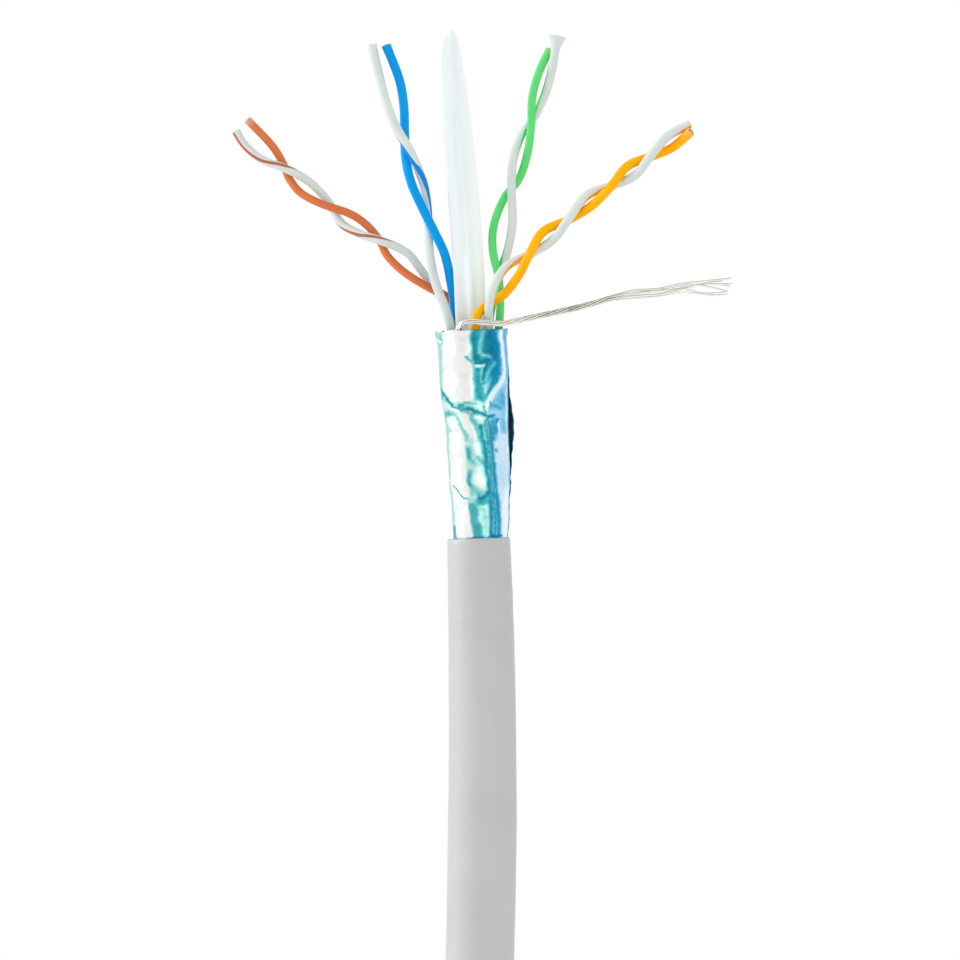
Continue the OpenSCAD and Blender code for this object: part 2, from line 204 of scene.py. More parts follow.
# Colour of a surface, its roughness as a fine pattern varies it, and its relief with a depth in metres
def finishSurface(tree, shader, color, pattern, roughness, relief, depth, strength):
    tree.links.new(color, shader.inputs["Base Color"])
    tree.links.new(mapRange(tree, pattern, 0.3, 0.7, *roughness), shader.inputs["Roughness"])
    node = addNode(tree, "ShaderNodeBump", {"Height": relief, "Strength": strength, "Distance": depth})
    tree.links.new(node.outputs["Normal"], shader.inputs["Normal"])


# Sweeps a round sleeve or rod along a path. The path's points carry outerRadius, boreRadius and toTip, their
# distance to the path's end, in metres, and stripeSide, the way a wire's coloured stripe faces.
def sweepTree():
    tree = bpy.data.node_groups.new("roundAlongPath", "GeometryNodeTree")
    face = tree.interface
    face.new_socket("Geometry", in_out="INPUT", socket_type="NodeSocketGeometry")
    for name, kind, value in (("Sides", "Int", 24), ("Hollow", "Bool", True), ("Unevenness", "Float", 0.0),
                              ("Lump Size", "Float", 0.004), ("Seed", "Float", 0.0)):
        face.new_socket(name, in_out="INPUT", socket_type="NodeSocket" + kind).default_value = value
    face.new_socket("Material", in_out="INPUT", socket_type="NodeSocketMaterial")
    face.new_socket("Geometry", in_out="OUTPUT", socket_type="NodeSocketGeometry")
    given = tree.nodes.new("NodeGroupInput").outputs

    def add(kind, inputs, output=0, **settings):
        return addNode(tree, kind, inputs, **settings).outputs[output]

    def named(name, kind):
        return add("GeometryNodeInputNamedAttribute", {"Name": name}, "Attribute", data_type=kind)

    def stored(geometry, name, kind, value):
        return add("GeometryNodeStoreNamedAttribute", {"Geometry": geometry, "Name": name, "Value": value},
                   "Geometry", data_type=kind, domain="POINT")

    def swept(radius, caps):
        return add("GeometryNodeCurveToMesh", {"Curve": path, "Profile Curve": circle, "Fill Caps": caps,
                                               "Scale": named(radius, "FLOAT")}, "Mesh")

    place = add("GeometryNodeInputPosition", {})
    centred = stored(given["Geometry"], "centre", "FLOAT_VECTOR", place)
    path = add("GeometryNodeMeshToCurve", {"Mesh": centred}, "Curve")
    circle = add("GeometryNodeCurvePrimitiveCircle", {"Resolution": given["Sides"], "Radius": 1.0}, "Curve")
    outer = swept("outerRadius", add("FunctionNodeBooleanMath", {0: given["Hollow"]}, operation="NOT"))
    bore = add("GeometryNodeFlipFaces", {"Mesh": swept("boreRadius", False)}, "Mesh")
    sleeve = tree.nodes.new("GeometryNodeJoinGeometry")
    for wall in (outer, bore):
        tree.links.new(wall, sleeve.inputs[0])
    welded = add("GeometryNodeMergeByDistance", {"Geometry": sleeve.outputs[0], "Distance": 2e-7})
    chosen = add("GeometryNodeSwitch", {"Switch": given["Hollow"], "False": outer, "True": welded},
                 input_type="GEOMETRY")

    # Slight lumps, in and out from the middle line
    centre = named("centre", "FLOAT_VECTOR")
    fromCentre = add("ShaderNodeVectorMath", {0: place, 1: centre}, operation="SUBTRACT")
    away = add("ShaderNodeVectorMath", {0: fromCentre}, operation="NORMALIZE")
    perLump = add("ShaderNodeMath", {0: 1.0, 1: given["Lump Size"]}, operation="DIVIDE")
    lumps = add("ShaderNodeTexNoise", {"Vector": place, "Scale": perLump, "W": given["Seed"], "Detail": 2.0},
                "Fac", noise_dimensions="4D")
    centredLumps = add("ShaderNodeMath", {0: lumps, 1: 0.5}, operation="SUBTRACT")
    amount = add("ShaderNodeMath", {0: centredLumps, 1: given["Unevenness"]}, operation="MULTIPLY")
    shift = add("ShaderNodeVectorMath", {0: away, "Scale": amount}, operation="SCALE")
    lumpy = add("GeometryNodeSetPosition", {"Geometry": chosen, "Offset": shift}, "Geometry")
    facing = add("ShaderNodeVectorMath", {0: away, 1: named("stripeSide", "FLOAT_VECTOR")}, "Value",
                 operation="DOT_PRODUCT")
    striped = stored(lumpy, "stripe", "FLOAT", facing)
    smooth = add("GeometryNodeSetShadeSmooth", {"Geometry": striped})
    real = add("GeometryNodeRealizeInstances", {"Geometry": smooth})
    dressed = add("GeometryNodeSetMaterial", {"Geometry": real, "Material": given["Material"]})
    tree.links.new(dressed, tree.nodes.new("NodeGroupOutput").inputs["Geometry"])
    return tree


roundAlongPath = sweepTree()


def linked(name, mesh):
    piece = bpy.data.objects.new(name, mesh)
    bpy.context.scene.collection.objects.link(piece)
    return piece


def removed(piece):
    mesh = piece.data
    bpy.data.objects.remove(piece)
    bpy.data.meshes.remove(mesh)


# The evaluated result as a plain mesh, with the modifiers left behind
def asPlainMesh(source, name):
    bpy.context.view_layer.update()
    evaluated = source.evaluated_get(bpy.context.evaluated_depsgraph_get())
    mesh = bpy.data.meshes.new_from_object(evaluated)
    mesh.name = name
    piece = linked(name, mesh)
    removed(source)
    return piece


# Several pieces of one material as one piece
def joined(name, parts):
    gathered = bmesh.new()
    mesh = bpy.data.meshes.new(name)
    mesh.materials.append(parts[0].data.materials[0])
    for part in parts:
        gathered.from_mesh(part.data)
        removed(part)
    gathered.to_mesh(mesh)
    gathered.free()
    return linked(name, mesh)


# A round section swept along points, all in millimetres; ways are the sides that a wire's stripe faces
def sweep(name, material, points, radii, bore=0, ways=None, **inputs):
    wire = bpy.data.meshes.new(name + "Path")
    wire.from_pydata([p * mm for p in points], [(i, i + 1) for i in range(len(points) - 1)], [])
    for label, values in (("outerRadius", radii), ("boreRadius", [bore] * len(points)),
                          ("toTip", distancesToTip(points))):
        wire.attributes.new(label, "FLOAT", "POINT").data.foreach_set("value", [v * mm for v in values])
    sides = wire.attributes.new("stripeSide", "FLOAT_VECTOR", "POINT")
    sides.data.foreach_set("vector", np.ravel(ways or [(0, 0, 0)] * len(points)))
    source = linked(name + "Path", wire)
    modifier = source.modifiers.new("round", "NODES")
    modifier.node_group = roundAlongPath
    inputs["Material"] = material
    for socket in roundAlongPath.interface.items_tree:
        if socket.in_out == "INPUT" and socket.name in inputs:
            modifier[socket.identifier] = inputs[socket.name]
    return asPlainMesh(source, name)


# A skin over rows of points in metres: an open sheet, or a closed shell whose first and last rows are capped
def skin(name, points, rows, closed=True):
    n = len(points) // rows
    faces = [(i * n + k, i * n + (k + 1) % n, (i + 1) * n + (k + 1) % n, (i + 1) * n + k)
             for i in range(rows - 1) for k in range(n if closed else n - 1)]
    if closed:
        faces += [tuple(reversed(range(n))), tuple((rows - 1) * n + k for k in range(n))]
    else:
        faces = [(b, a, d, c) for a, b, c, d in faces]
    mesh = bpy.data.meshes.new(name)
    mesh.from_pydata(points, [], faces)
    mesh.polygons.foreach_set("use_smooth", [True] * len(mesh.polygons))
    mesh.update()
    return linked(name, mesh)


# A place between four points, on the smooth curve that passes through the middle two
def onCurve(p0, p1, p2, p3, t):
    return (p1 * 2 + (p2 - p0) * t + (p0 * 2 - p1 * 5 + p2 * 4 - p3) * t * t
            + (p1 * 3 - p0 - p2 * 3 + p3) * t * t * t) / 2


def smoothRoute(points, steps):
    route = [points[0]]
    last = len(points) - 1
    for i in range(last):
        around = [points[max(i - 1, 0)], points[i], points[i + 1], points[min(i + 2, last)]]
        route += [onCurve(*around, j / steps) for j in range(1, steps + 1)]
    return route


def tangentAt(route, i):
    return (route[min(i + 1, len(route) - 1)] - route[max(i - 1, 0)]).normalized()


def distancesToTip(route):
    left = [0.0]
    for i in range(len(route) - 1, 0, -1):
        left.append(left[-1] + (route[i] - route[i - 1]).length)
    return left[::-1]


# Value at s from a list of (place, value), with soft steps between them
def between(stops, s):
    for (s0, v0), (s1, v1) in zip(stops, stops[1:]):
        if s <= s1:
            t = max(0.0, (s - s0) / (s1 - s0))
            t = t * t * (3 - 2 * t)
            return v0 + (v1 - v0) * t
    return stops[-1][1]


def polar(r, degrees):
    return r * math.cos(math.radians(degrees)), r * math.sin(math.radians(degrees))


# Wires: their free routes in wire diameters from the centre of the foil's rim, as in the part's source
wires = {
    "diameter": 1.0, "boreDiameter": 0.56, "conductorDiameter": 0.54, "sides": 24, "conductorSides": 12,
    "steps": 6, "stepsPerLay": 6, "unevenness": 0.00002,
    # radius of a sleeve's cut edge in millimetres, and the share of it where its rounding is halfway
    "cutEdge": 0.1, "halfway": 0.4,
    # ragged cuts: how deep they reach in millimetres, and about how many bumps lie in one
    "raggedDepth": 0.2, "raggedScale": 2.3,
    # cut ends: wide across the view and thin front to back as shares of the round wire, over a length in
    # millimetres, and how ragged the cut is
    "ends": {
        "white_green": {"sleeve": (2.15, 0.64, 1.9, 0.05), "conductor": (0.9, 0.6, 1.4, 0.04)},
        "others": {"sleeve": (1.06, 0.95, 1.4, 0.12), "conductor": (1, 1, 1.4, 0.04)},
    },
    "pairs": {
        "blue": {
            "quadrant": 2, "lay": 14, "endAngle": 290, "coloured": 0.98, "white": 0.98, "stripeTurn": -90,
            "whiteFan": [
                (-1.1, 1.1, -6.3), (-1.1, 0.4, -3.4), (-2, 0.1, -0.2), (-2.8, 0.1, 2.4), (-3.8, 0.2, 5),
                (-4.4, 0.3, 7.8), (-4.6, 0.3, 10.5), (-4.7, 0.1, 13.1), (-5.2, -0.5, 16), (-6.5, -1.8, 19),
                (-8, -2, 21.6), (-9.1, -1.9, 24.3), (-9.8, -1.9, 27), (-10.6, -2, 30.4)],
            "colouredFan": [
                (-1.9, 0.3, -6.3), (-2.1, 1, -3.4), (-1.7, 1.2, -0.2), (-1.8, 1.1, 2.4), (-2.2, 0.8, 5.2),
                (-2.8, 0.2, 8), (-3.9, -0.6, 10.4), (-5.2, -1.1, 13), (-6.4, -1.2, 15.7), (-7, -0.7, 18.4),
                (-7.1, -0.6, 21.2), (-7.2, -0.9, 24), (-7.7, -1.4, 26.8), (-9.1, -1.9, 30.4)]},
        "orange": {
            "quadrant": 3, "lay": 12, "endAngle": 253, "coloured": 0.98, "white": 0.96, "stripeTurn": 160,
            "whiteFan": [
                (0, -1.6, -7.3), (0.2, -2.3, -5.7), (1, -2.4, -3.2), (1.8, -2.2, 0), (1.9, -3, 2.6),
                (2.4, -3, 4.7), (3.8, -2.6, 6.8), (6.3, -2.4, 8.1), (8.7, -3.3, 9.6), (10.4, -4.1, 11.9),
                (12.3, -3.8, 14.3), (14.9, -3.5, 15.3), (17.4, -4.5, 16.4), (19, -5.3, 18.4),
                (20.9, -5.2, 20.6), (23.3, -4.8, 21.8)],
            "colouredFan": [
                (-1, -2, -7.3), (-0.8, -1.9, -5.7), (-0.1, -2.4, -3.2), (0.4, -2.6, 0), (0.7, -2.5, 1.7),
                (2.1, -1.6, 2.9), (3.6, -2.2, 3.9), (5.1, -3.2, 5.9), (6.3, -3.6, 8.3), (7.7, -3.2, 10.5),
                (10.3, -2.7, 11.7), (12.8, -3.9, 13.2), (14.9, -4.8, 15.3), (16.6, -4.4, 17.4),
                (19, -4, 18.4), (21.4, -4.6, 19.4), (23.4, -5.7, 21.1)]},
        "green": {
            "quadrant": 0, "lay": 15, "endAngle": 245, "coloured": 0.88, "white": 0.94, "stripeTurn": 180,
            "whiteFan": [
                (2.7, -0.8, -5.7), (2.5, -1, -3.2), (1.9, -0.4, -0.1), (2.2, 0.4, 2.8), (2.9, 0.9, 5.7),
                (3.9, 1, 8.6), (4.4, 1.2, 11.6), (4.3, 1.3, 14.8), (4.4, 1.9, 17.8), (5.2, 2.9, 20.6),
                (6.7, 3.3, 22.8), (7.9, 3.2, 25.3), (8.6, 3.1, 27.8), (9, 3, 30.2), (9.2, 3, 31.5)],
            "colouredFan": [
                (1.5, -0.4, -5.7), (2.4, 0.1, -3.2), (2.9, 0.1, -0.1), (3.1, -0.4, 2.8), (2.9, -0.3, 5.7),
                (2.3, 0.7, 8.5), (2.4, 1.8, 11.2), (3.5, 2.4, 14.1), (5.1, 2.5, 16.2), (6, 2.2, 18.9),
                (6.4, 2.1, 22), (6.5, 2.3, 24.8), (7.2, 3, 27.5), (8.4, 4, 30.1)]},
        "brown": {
            "quadrant": 1, "lay": 13, "endAngle": 57, "coloured": 0.86, "white": 0.9, "stripeTurn": 40,
            "whiteFan": [
                (0.1, 2.2, -5.7), (-0.2, 2.6, -3.2), (-1.2, 2.6, -0.3), (-2.4, 3.1, 2.2), (-4, 3.6, 4.5),
                (-5.6, 3.5, 6.8), (-7, 3.2, 8.4), (-9.7, 3, 9.6), (-12.1, 3.6, 10.4), (-14, 4.5, 11.6),
                (-15.3, 4.9, 13.8), (-17.3, 4.8, 15.9), (-19.8, 4.3, 17.3), (-22.4, 4.8, 18.3),
                (-24.2, 5.3, 19.8), (-25.2, 5.5, 21.4)],
            "colouredFan": [
                (1.3, 1.5, -5.7), (0.8, 2.2, -3.2), (-0.1, 2.3, -0.3), (-1.1, 2.5, 1.8), (-2.6, 2.4, 3.6),
                (-4.4, 2.5, 4.5), (-7, 3.1, 6.1), (-8.9, 3.9, 7.9), (-9.8, 4.2, 9.6), (-11.1, 4.1, 11.2),
                (-13, 3.9, 12.5), (-15.9, 3.8, 13.5), (-18.2, 4.3, 14.7), (-19.5, 5.3, 16.3),
                (-20.1, 5.5, 17.8), (-21.4, 5.5, 19.9), (-24, 5.5, 22.6)]}
    },
}


def fromRim(points):
    return [Vector((rimX, 0, rimZ)) + Vector(p) * wires["diameter"] for p in points]


# Twisted stretch of one wire inside the core; side is 0 or 180, for the two wires of a pair
def coreRoute(pair, side):
    count = math.ceil(coreLength * wires["stepsPerLay"] / pair["lay"])
    points = []
    for i in range(count + 1):
        s = i * coreLength / count
        px, py = polar(cable["pairOffset"], cable["webTurn"] - 45 + 90 * pair["quadrant"])
        tx, ty = polar(cable["twistRadius"], pair["endAngle"] + side + 360 * (coreLength - s) / pair["lay"])
        points.append(inCable(s, px + tx + sway(s), py + ty))
    return points


def wireRoute(pair, kind):
    side = 0 if kind == "coloured" else 180
    return smoothRoute(coreRoute(pair, side) + fromRim(pair[kind + "Fan"]), wires["steps"])


# Ways the stripe of a white wire faces: away from its partner, turned round the wire by a fixed angle
def stripeWays(route, partner, turn):
    ways = []
    for i, point in enumerate(route):
        nearest = min(partner, key=lambda q: (q - point).length_squared)
        t = tangentAt(route, i)
        away = point - nearest
        away = (away - t * away.dot(t)).normalized()
        ways.append(away * math.cos(math.radians(turn)) + t.cross(away) * math.sin(math.radians(turn)))
    return [ways[0]] * 3 + ways[1:-1] + [ways[-1]] * 3


# A sleeve has points close to both ends of its route, so that its cut edges can be rounded
def makeSleeve(name, route, diameter, plastic, ways):
    cut, halfway, bore = wires["cutEdge"], wires["halfway"], wires["boreDiameter"] / 2
    start, end = route[0], route[-1]
    first, last = (route[1] - start).normalized(), (route[-2] - end).normalized()
    points = ([start, start + first * cut * halfway, start + first * cut] + route[1:-1]
              + [end + last * cut, end + last * cut * halfway, end])
    radii = [diameter / 2] * len(points)
    radii[0] = radii[-1] = bore
    radii[1] = radii[-2] = diameter / 2 - cut * halfway
    return sweep(name, plastic, points, radii, bore, ways,
                 Sides=wires["sides"], Unevenness=wires["unevenness"])


# Squeezes the end of a wire and roughens its cut
def shapeEnd(piece, route, wide, thin, length, ragged):
    tip = route[-1]
    t = tangentAt(route, len(route) - 1)
    across = Vector((0, 1, 0)).cross(t).normalized()
    deep = t.cross(across)
    nearTip = length * 1.5 + 1
    cut = wires["raggedDepth"]
    for vertex in piece.data.vertices:
        p = vertex.co / mm - tip
        if p.length > nearTip:
            continue
        along = p.dot(t)
        share = max(0.0, min(1.0, 1 + along / length)) ** 2
        p += across * p.dot(across) * (wide - 1) * share + deep * p.dot(deep) * (thin - 1) * share
        if along > -cut:
            p += t * noise.noise(p * wires["raggedScale"] + tip) * ragged * (1 + along / cut)
        vertex.co = (tip + p) * mm


# Plastics of the wires; a white wire carries one lengthwise stripe: the half angle that it covers in degrees,
# and its colour. Over the last tipLength the coloured sleeves turn paler by a share.
plastics = {
    "blue": (0.0, 0.33, 0.80), "orange": (1.0, 0.455, 0.0), "green": (0.13, 0.72, 0.20),
    "brown": (0.68, 0.18, 0.06), "white": (0.665, 0.735, 0.70), "pale": (0.80, 0.66, 0.55)}
stripes = {"blue": (37, (0.0, 0.23, 0.66)), "orange": (24, (0.95, 0.36, 0.0)),
           "green": (24, (0.1, 0.6, 0.18)), "brown": (24, (0.46, 0.13, 0.07))}
paleTips = {"brown": 0.4, "green": 0.2, "orange": 0.15, "blue": 0}
tipLength = 1.2


def wireMaterial(name, color, stripe=None, paleTip=0):
    material, tree, shader = plainMaterial(name, name, Roughness=0.4, Specular_IOR_Level=0.08)
    place = objectPlace(tree)
    clouds = noiseTexture(tree, place, 260, 3)
    base = ramp(tree, clouds, [(0.3, shaded(color, 0.93)), (0.55, color), (0.75, shaded(color, 1.04, 0.006))])
    if stripe:
        halfAngle, paint = stripe
        limit = math.cos(math.radians(halfAngle))
        edge = combine(tree, "ADD", attribute(tree, "stripe"),
                       mapRange(tree, noiseTexture(tree, place, 900, 2), 0, 1, -0.03, 0.03))
        painted = mapRange(tree, edge, limit - 0.05, limit + 0.04, 0, 0.98, smooth=True)
        base = mixColors(tree, painted, base, paint)
    if paleTip:
        near = mapRange(tree, attribute(tree, "toTip"), 0, tipLength * mm, paleTip, 0, smooth=True)
        base = mixColors(tree, near, base, plastics["pale"])
    fine = noiseTexture(tree, place, 2400, 2)
    drawn = noiseTexture(tree, objectPlace(tree, (1, 1, 0.12)), 3000, 2)
    finishSurface(tree, shader, base, fine, (0.3, 0.44), drawn, depth=0.000004, strength=0.3)
    return material


# Bare metal of the conductors and of the drain wire's strands. The tinned strands carry a painted sheen, pale
# near the root
# and the splayed tips: places to the right of the middle in millimetres, and how much of the pale colour
# shows there
metals = {
    "copperWire": {"color": (0.78, 0.45, 0.28), "dull": (0.45, 0.21, 0.11), "roughness": 0.3},
    # the tinned strands' pale colour is their painted sheen
    "tinnedWire": {"color": (0.66, 0.68, 0.62), "dull": (0.42, 0.44, 0.38), "roughness": 0.32,
                   "pale": (1.0, 1.0, 0.94), "paintedSheenAlong": [(-5, 0.85), (4.6, 0.8), (6.6, 0.12), (13, 0.12),
                                                            (15.5, 0.75), (18, 0.8)]},
}


def metalMaterial(name, color, dull, roughness, pale=None, paintedSheenAlong=()):
    material, tree, shader = plainMaterial(name, name, Metallic=1.0)
    place = objectPlace(tree)
    patches = noiseTexture(tree, place, 500, 4, 0.6)
    base = ramp(tree, patches, [(0.34, dull), (0.5, color), (0.68, shaded(color, 1.12))])
    # painted sheen along the strands, pale near the root and the splayed tips
    if pale:
        toTheRight = addNode(tree, "ShaderNodeSeparateXYZ", {0: place}).outputs["X"]
        first, last = paintedSheenAlong[0][0], paintedSheenAlong[-1][0]
        share = ramp(tree, mapRange(tree, toTheRight, first * mm, last * mm, 0, 1),
                     [((x - first) / (last - first), (amount, amount, amount)) for x, amount in paintedSheenAlong])
        base = mixColors(tree, share, base, pale)
    drawn = noiseTexture(tree, objectPlace(tree, (0.3, 1, 1)), 5000, 2)
    finishSurface(tree, shader, base, drawn, (roughness - 0.08, roughness + 0.12), drawn,
                  depth=0.00002, strength=0.5)
    return material


pieces = {}
copper = metalMaterial("copperWire", **metals["copperWire"])
for color, pair in wires["pairs"].items():
    routes = {kind: wireRoute(pair, kind) for kind in ("coloured", "white")}
    for kind, node in (("coloured", color), ("white", "white_" + color)):
        route = routes[kind]
        if kind == "coloured":
            plastic = wireMaterial(color + "Plastic", plastics[color], paleTip=paleTips[color])
            ways = None
        else:
            plastic = wireMaterial("whiteWith" + color.capitalize(), plastics["white"], stripes[color])
            ways = stripeWays(route, routes["coloured"], pair["stripeTurn"])
        sleeve = makeSleeve(node + "Insulation", route, pair[kind], plastic, ways)
        radii = [wires["conductorDiameter"] / 2] * len(route)
        core = sweep(node + "Conductor", copper, route, radii, Sides=wires["conductorSides"], Hollow=False)
        ends = wires["ends"].get(node, wires["ends"]["others"])
        shapeEnd(sleeve, route, *ends["sleeve"])
        shapeEnd(core, route, *ends["conductor"])
        pieces[sleeve] = (node + "_insulation", "white_plastic" if kind == "white" else color + "_plastic")
        pieces[core] = (node + "_conductor", "copper")
print("wires made")

# Drain wire: six strands around a seventh, splayed at the free end; points as in the part's source
drain = {
    "strandDiameter": 0.18, "ringRadius": 0.2309, "lay": 10, "endAngle": 344, "sides": 12, "stepsPerLay": 6,
    "steps": 5, "endSteps": 8,
    # times the core's sway that it sits deeper at the jacket's mouth
    "tuckedIn": 1.9,
    "fan": [
        (-2.2, -1.1, -5.7), (-2, -2, -2.7), (-1.4, -3, -0.1), (-0.6, -3.5, 0.9), (1.3, -3.7, 0.8),
        (3.6, -3.7, 0.7), (5.9, -3.5, 1.2), (9.2, -3.2, 1.9), (12.6, -2.9, 2.7), (14.6, -2.7, 3.3)],
    "ends": [
        [(17.3, -2.6, 3.8), (20.2, -2.4, 4.1), (23.1, -2.3, 4.5), (25.1, -2.2, 5), (26.8, -2.1, 5.2)],
        [(17.2, -2.1, 3.6), (20.4, -1.8, 3.9), (23.1, -1.5, 4.7), (25.6, -1.5, 4.9), (27.5, -1.6, 4.7)],
        [(17.1, -2.3, 3.9), (20.1, -2.1, 4.3), (22.9, -1.9, 4.3), (24.9, -1.9, 3.9), (27.4, -2, 4.1)],
        [(17.3, -2.8, 4.2), (20, -2.9, 4.4), (22.2, -3, 4.9), (25, -3, 5.2), (27.7, -3.1, 5.5)],
        [(17.2, -3.2, 3.9), (20.2, -3.4, 4.2), (23, -3.4, 4.8), (25.2, -3.4, 4.6), (27.2, -3.5, 4.1)],
        [(17.5, -3, 3.6), (20.3, -3.1, 3.8), (22.2, -2.7, 4.2), (24.4, -2.6, 4.8), (27.8, -2.8, 4.9)],
        [(17.5, -2.5, 3.4), (20.1, -2.7, 3.6), (22.7, -2.3, 4), (25.4, -2.4, 3.7), (27.3, -2.5, 3.8)]],
}
tinned = metalMaterial("tinnedWire", **metals["tinnedWire"])


def drainRoute(sizes):
    count = math.ceil(coreLength * sizes["stepsPerLay"] / sizes["lay"])
    buried = []
    for i in range(count + 1):
        s = i * coreLength / count
        px, py = polar(cable["drainOffset"] - sizes["tuckedIn"] * sway(s), 180 + cable["webTurn"])
        buried.append(inCable(s, px + sway(s), py))
    return smoothRoute(buried + fromRim(sizes["fan"]), sizes["steps"])


def makeStrand(sizes, k, bundle, leftToGo):
    route = []
    for i, point in enumerate(bundle):
        t = tangentAt(bundle, i)
        across = Vector((0, 1, 0)).cross(t).normalized()
        turn = sizes["endAngle"] + 60 * k + 360 * leftToGo[i] / sizes["lay"]
        px, py = polar(sizes["ringRadius"] if k else 0, turn)
        route.append(point + across * px + t.cross(across) * py)
    route += smoothRoute(route[-2:] + fromRim(sizes["ends"][k]), sizes["endSteps"])[sizes["endSteps"] + 1:]
    radii = [sizes["strandDiameter"] / 2] * len(route)
    return sweep("strand", tinned, route, radii, Sides=sizes["sides"], Hollow=False)


bundle = drainRoute(drain)
leftToGo = distancesToTip(bundle)
strands = [makeStrand(drain, k, bundle, leftToGo) for k in range(7)]
pieces[joined("drainWire", strands)] = (["drain_strand_%d" % (k + 1) for k in range(7)], "tinned_copper")
print("drain wire made")

# Jacket: the outside swells a little below the cut end; sizes in millimetres, along the cable's middle line
jacket = {
    "sides": 96, "spacing": 0.5, "unevenness": 0.00005, "lumpSize": 0.005,
    # rounded lip at both cuts: shares of its radius along from the cut, and in from the outside
    "lipRadius": 0.14, "lip": [(0.3, 0.45), (1, 0.08)],
    "outside": [(0, 3.6046), (11, 3.6046), (16, 3.66), (31, 3.68), (35, 3.63), (44, 3.57), (54.5, 3.47),
                (58, 3.41), (61, 3.36)],
    "color": (0.51, 0.51, 0.51),
    # small specks, and one faint dent given as painted shade (the darker mark of radius 0.5): place and
    # radius in millimetres, and how much paler or darker
    "specksAndDentShade": [((-0.05, -3.53, 55.1), 0.12, 0.3), ((-1.75, -3.1, 51.9), 0.5, -0.06),
              ((-3.3, -1.6, 44.5), 0.25, -0.1), ((-3.45, -1.2, 46.2), 0.18, -0.12),
              ((1.9, 3.2, 33.0), 0.3, -0.07), ((2.6, -2.6, 25.5), 0.16, 0.12)],
}


def jacketMaterial(sizes):
    material, tree, shader = plainMaterial("jacketPvc", "jacket_pvc", Specular_IOR_Level=0.45)
    place = objectPlace(tree)
    gray = sizes["color"]
    base = ramp(tree, noiseTexture(tree, place, 130, 4), [(0.3, shaded(gray, 0.95)), (0.55, gray),
                                                          (0.75, shaded(gray, 1.04))])
    # a few fine scuffs and specks
    specks = addNode(tree, "ShaderNodeTexVoronoi", {"Vector": place, "Scale": 420.0}).outputs["Distance"]
    some = mapRange(tree, noiseTexture(tree, place, 160, 1), 0.6, 0.66, 0, 0.5)
    speckled = combine(tree, "MULTIPLY", combine(tree, "LESS_THAN", specks, 0.07), some)
    base = mixColors(tree, speckled, base, shaded(gray, 0.6))
    # specks, and the painted shade of the faint dent, mixed into the colour
    for spot, radius, change in sizes["specksAndDentShade"]:
        middleOfMark, edge = [v * mm for v in spot], radius * mm
        away = addNode(tree, "ShaderNodeVectorMath", {0: place, 1: middleOfMark}, operation="DISTANCE")
        cover = mapRange(tree, away.outputs["Value"], edge * 0.5, edge, abs(change), 0, smooth=True)
        base = mixColors(tree, cover, base, (0.9, 0.9, 0.9) if change > 0 else (0.1, 0.1, 0.1))
    grain = noiseTexture(tree, place, 3200, 3)
    streaks = noiseTexture(tree, objectPlace(tree, (1, 1, 0.05)), 1500, 2)
    relief = combine(tree, "ADD", grain, combine(tree, "MULTIPLY", streaks, 1.2))
    finishSurface(tree, shader, base, grain, (0.38, 0.5), relief, depth=0.00003, strength=0.3)
    return material


def makeJacket(sizes):
    top, lip, bore = cable["jacketLength"], sizes["lipRadius"], cable["jacketBore"]
    count = round((top - 2 * lip) / sizes["spacing"])
    edge = [(lip * along, lip * inward) for along, inward in sizes["lip"]]
    rings = edge + [(lip + (top - 2 * lip) * i / count, 0) for i in range(1, count)]
    rings += [(top - along, inward) for along, inward in reversed(edge)]
    radii = [bore] + [between(sizes["outside"], s) - inward for s, inward in rings] + [bore]
    points = [inCable(s, 0, 0) for s in [0] + [s for s, inward in rings] + [top]]
    return sweep("cableJacket", jacketMaterial(sizes), points, radii, bore, Sides=sizes["sides"],
                 Unevenness=sizes["unevenness"], **{"Lump Size": sizes["lumpSize"]})


jacketPiece = makeJacket(jacket)
pieces[jacketPiece] = ("jacket", "jacket_pvc")
print("jacket made")

# Separator: a cross with rounded web ends and filleted corners, drawn out to a blunt point
separator = {
    "webThickness": 0.35, "webReach": 1.75, "fillet": 0.65, "ridge": 0.1,
    "freeLength": 32.18, "lean": 2.8, "bendRadius": 300, "cornerSteps": 7, "webSteps": 5, "spacing": 0.5,
    # rings near the tip, below it, and where the even spacing stops
    "tipRings": [1.0, 0.8, 0.6, 0.4, 0.27, 0.15, 0.06, 0], "tipStart": 1.3,
    # below the tip: width left of and right of the middle
    "left": [(0, 0.05), (0.15, 0.16), (0.4, 0.3), (1, 0.52), (2, 0.72), (3.8, 0.85), (7, 0.92), (10, 0.97),
             (14, 1)],
    "right": [(0, 0.05), (0.15, 0.2), (0.4, 0.34), (1, 0.47), (2, 0.58), (3.8, 0.68), (7, 0.82), (10, 0.91),
              (14, 1)],
    # below the tip: what is left of the front web, and of the webs' turn, and how deep the tip is in front
    "proud": [(0, 0.0), (5, 0.02), (12, 0.08), (20, 0.14), (30, 0.2), (34, 0.4), (38, 1)],
    "turned": [(0, 0), (5, 0.02), (12, 0.12), (20, 0.26), (27, 0.4), (32.2, 0.85), (35, 1)],
    "tipDepth": [(0, 0.3), (0.15, 0.62), (0.4, 0.85), (1, 1)],
    # heights in metres, and the colour there: paler deep in the foil and wires as painted light against their
    # shade, darker towards the tip as painted shade
    "paintedLightByHeight": [(0.083, (0.88, 0.97, 0.965)), (0.09, (0.84, 0.90, 0.905)), (0.1, (0.81, 0.85, 0.855)),
               (0.109, (0.79, 0.825, 0.83)), (0.1135, (0.76, 0.79, 0.79))],
}


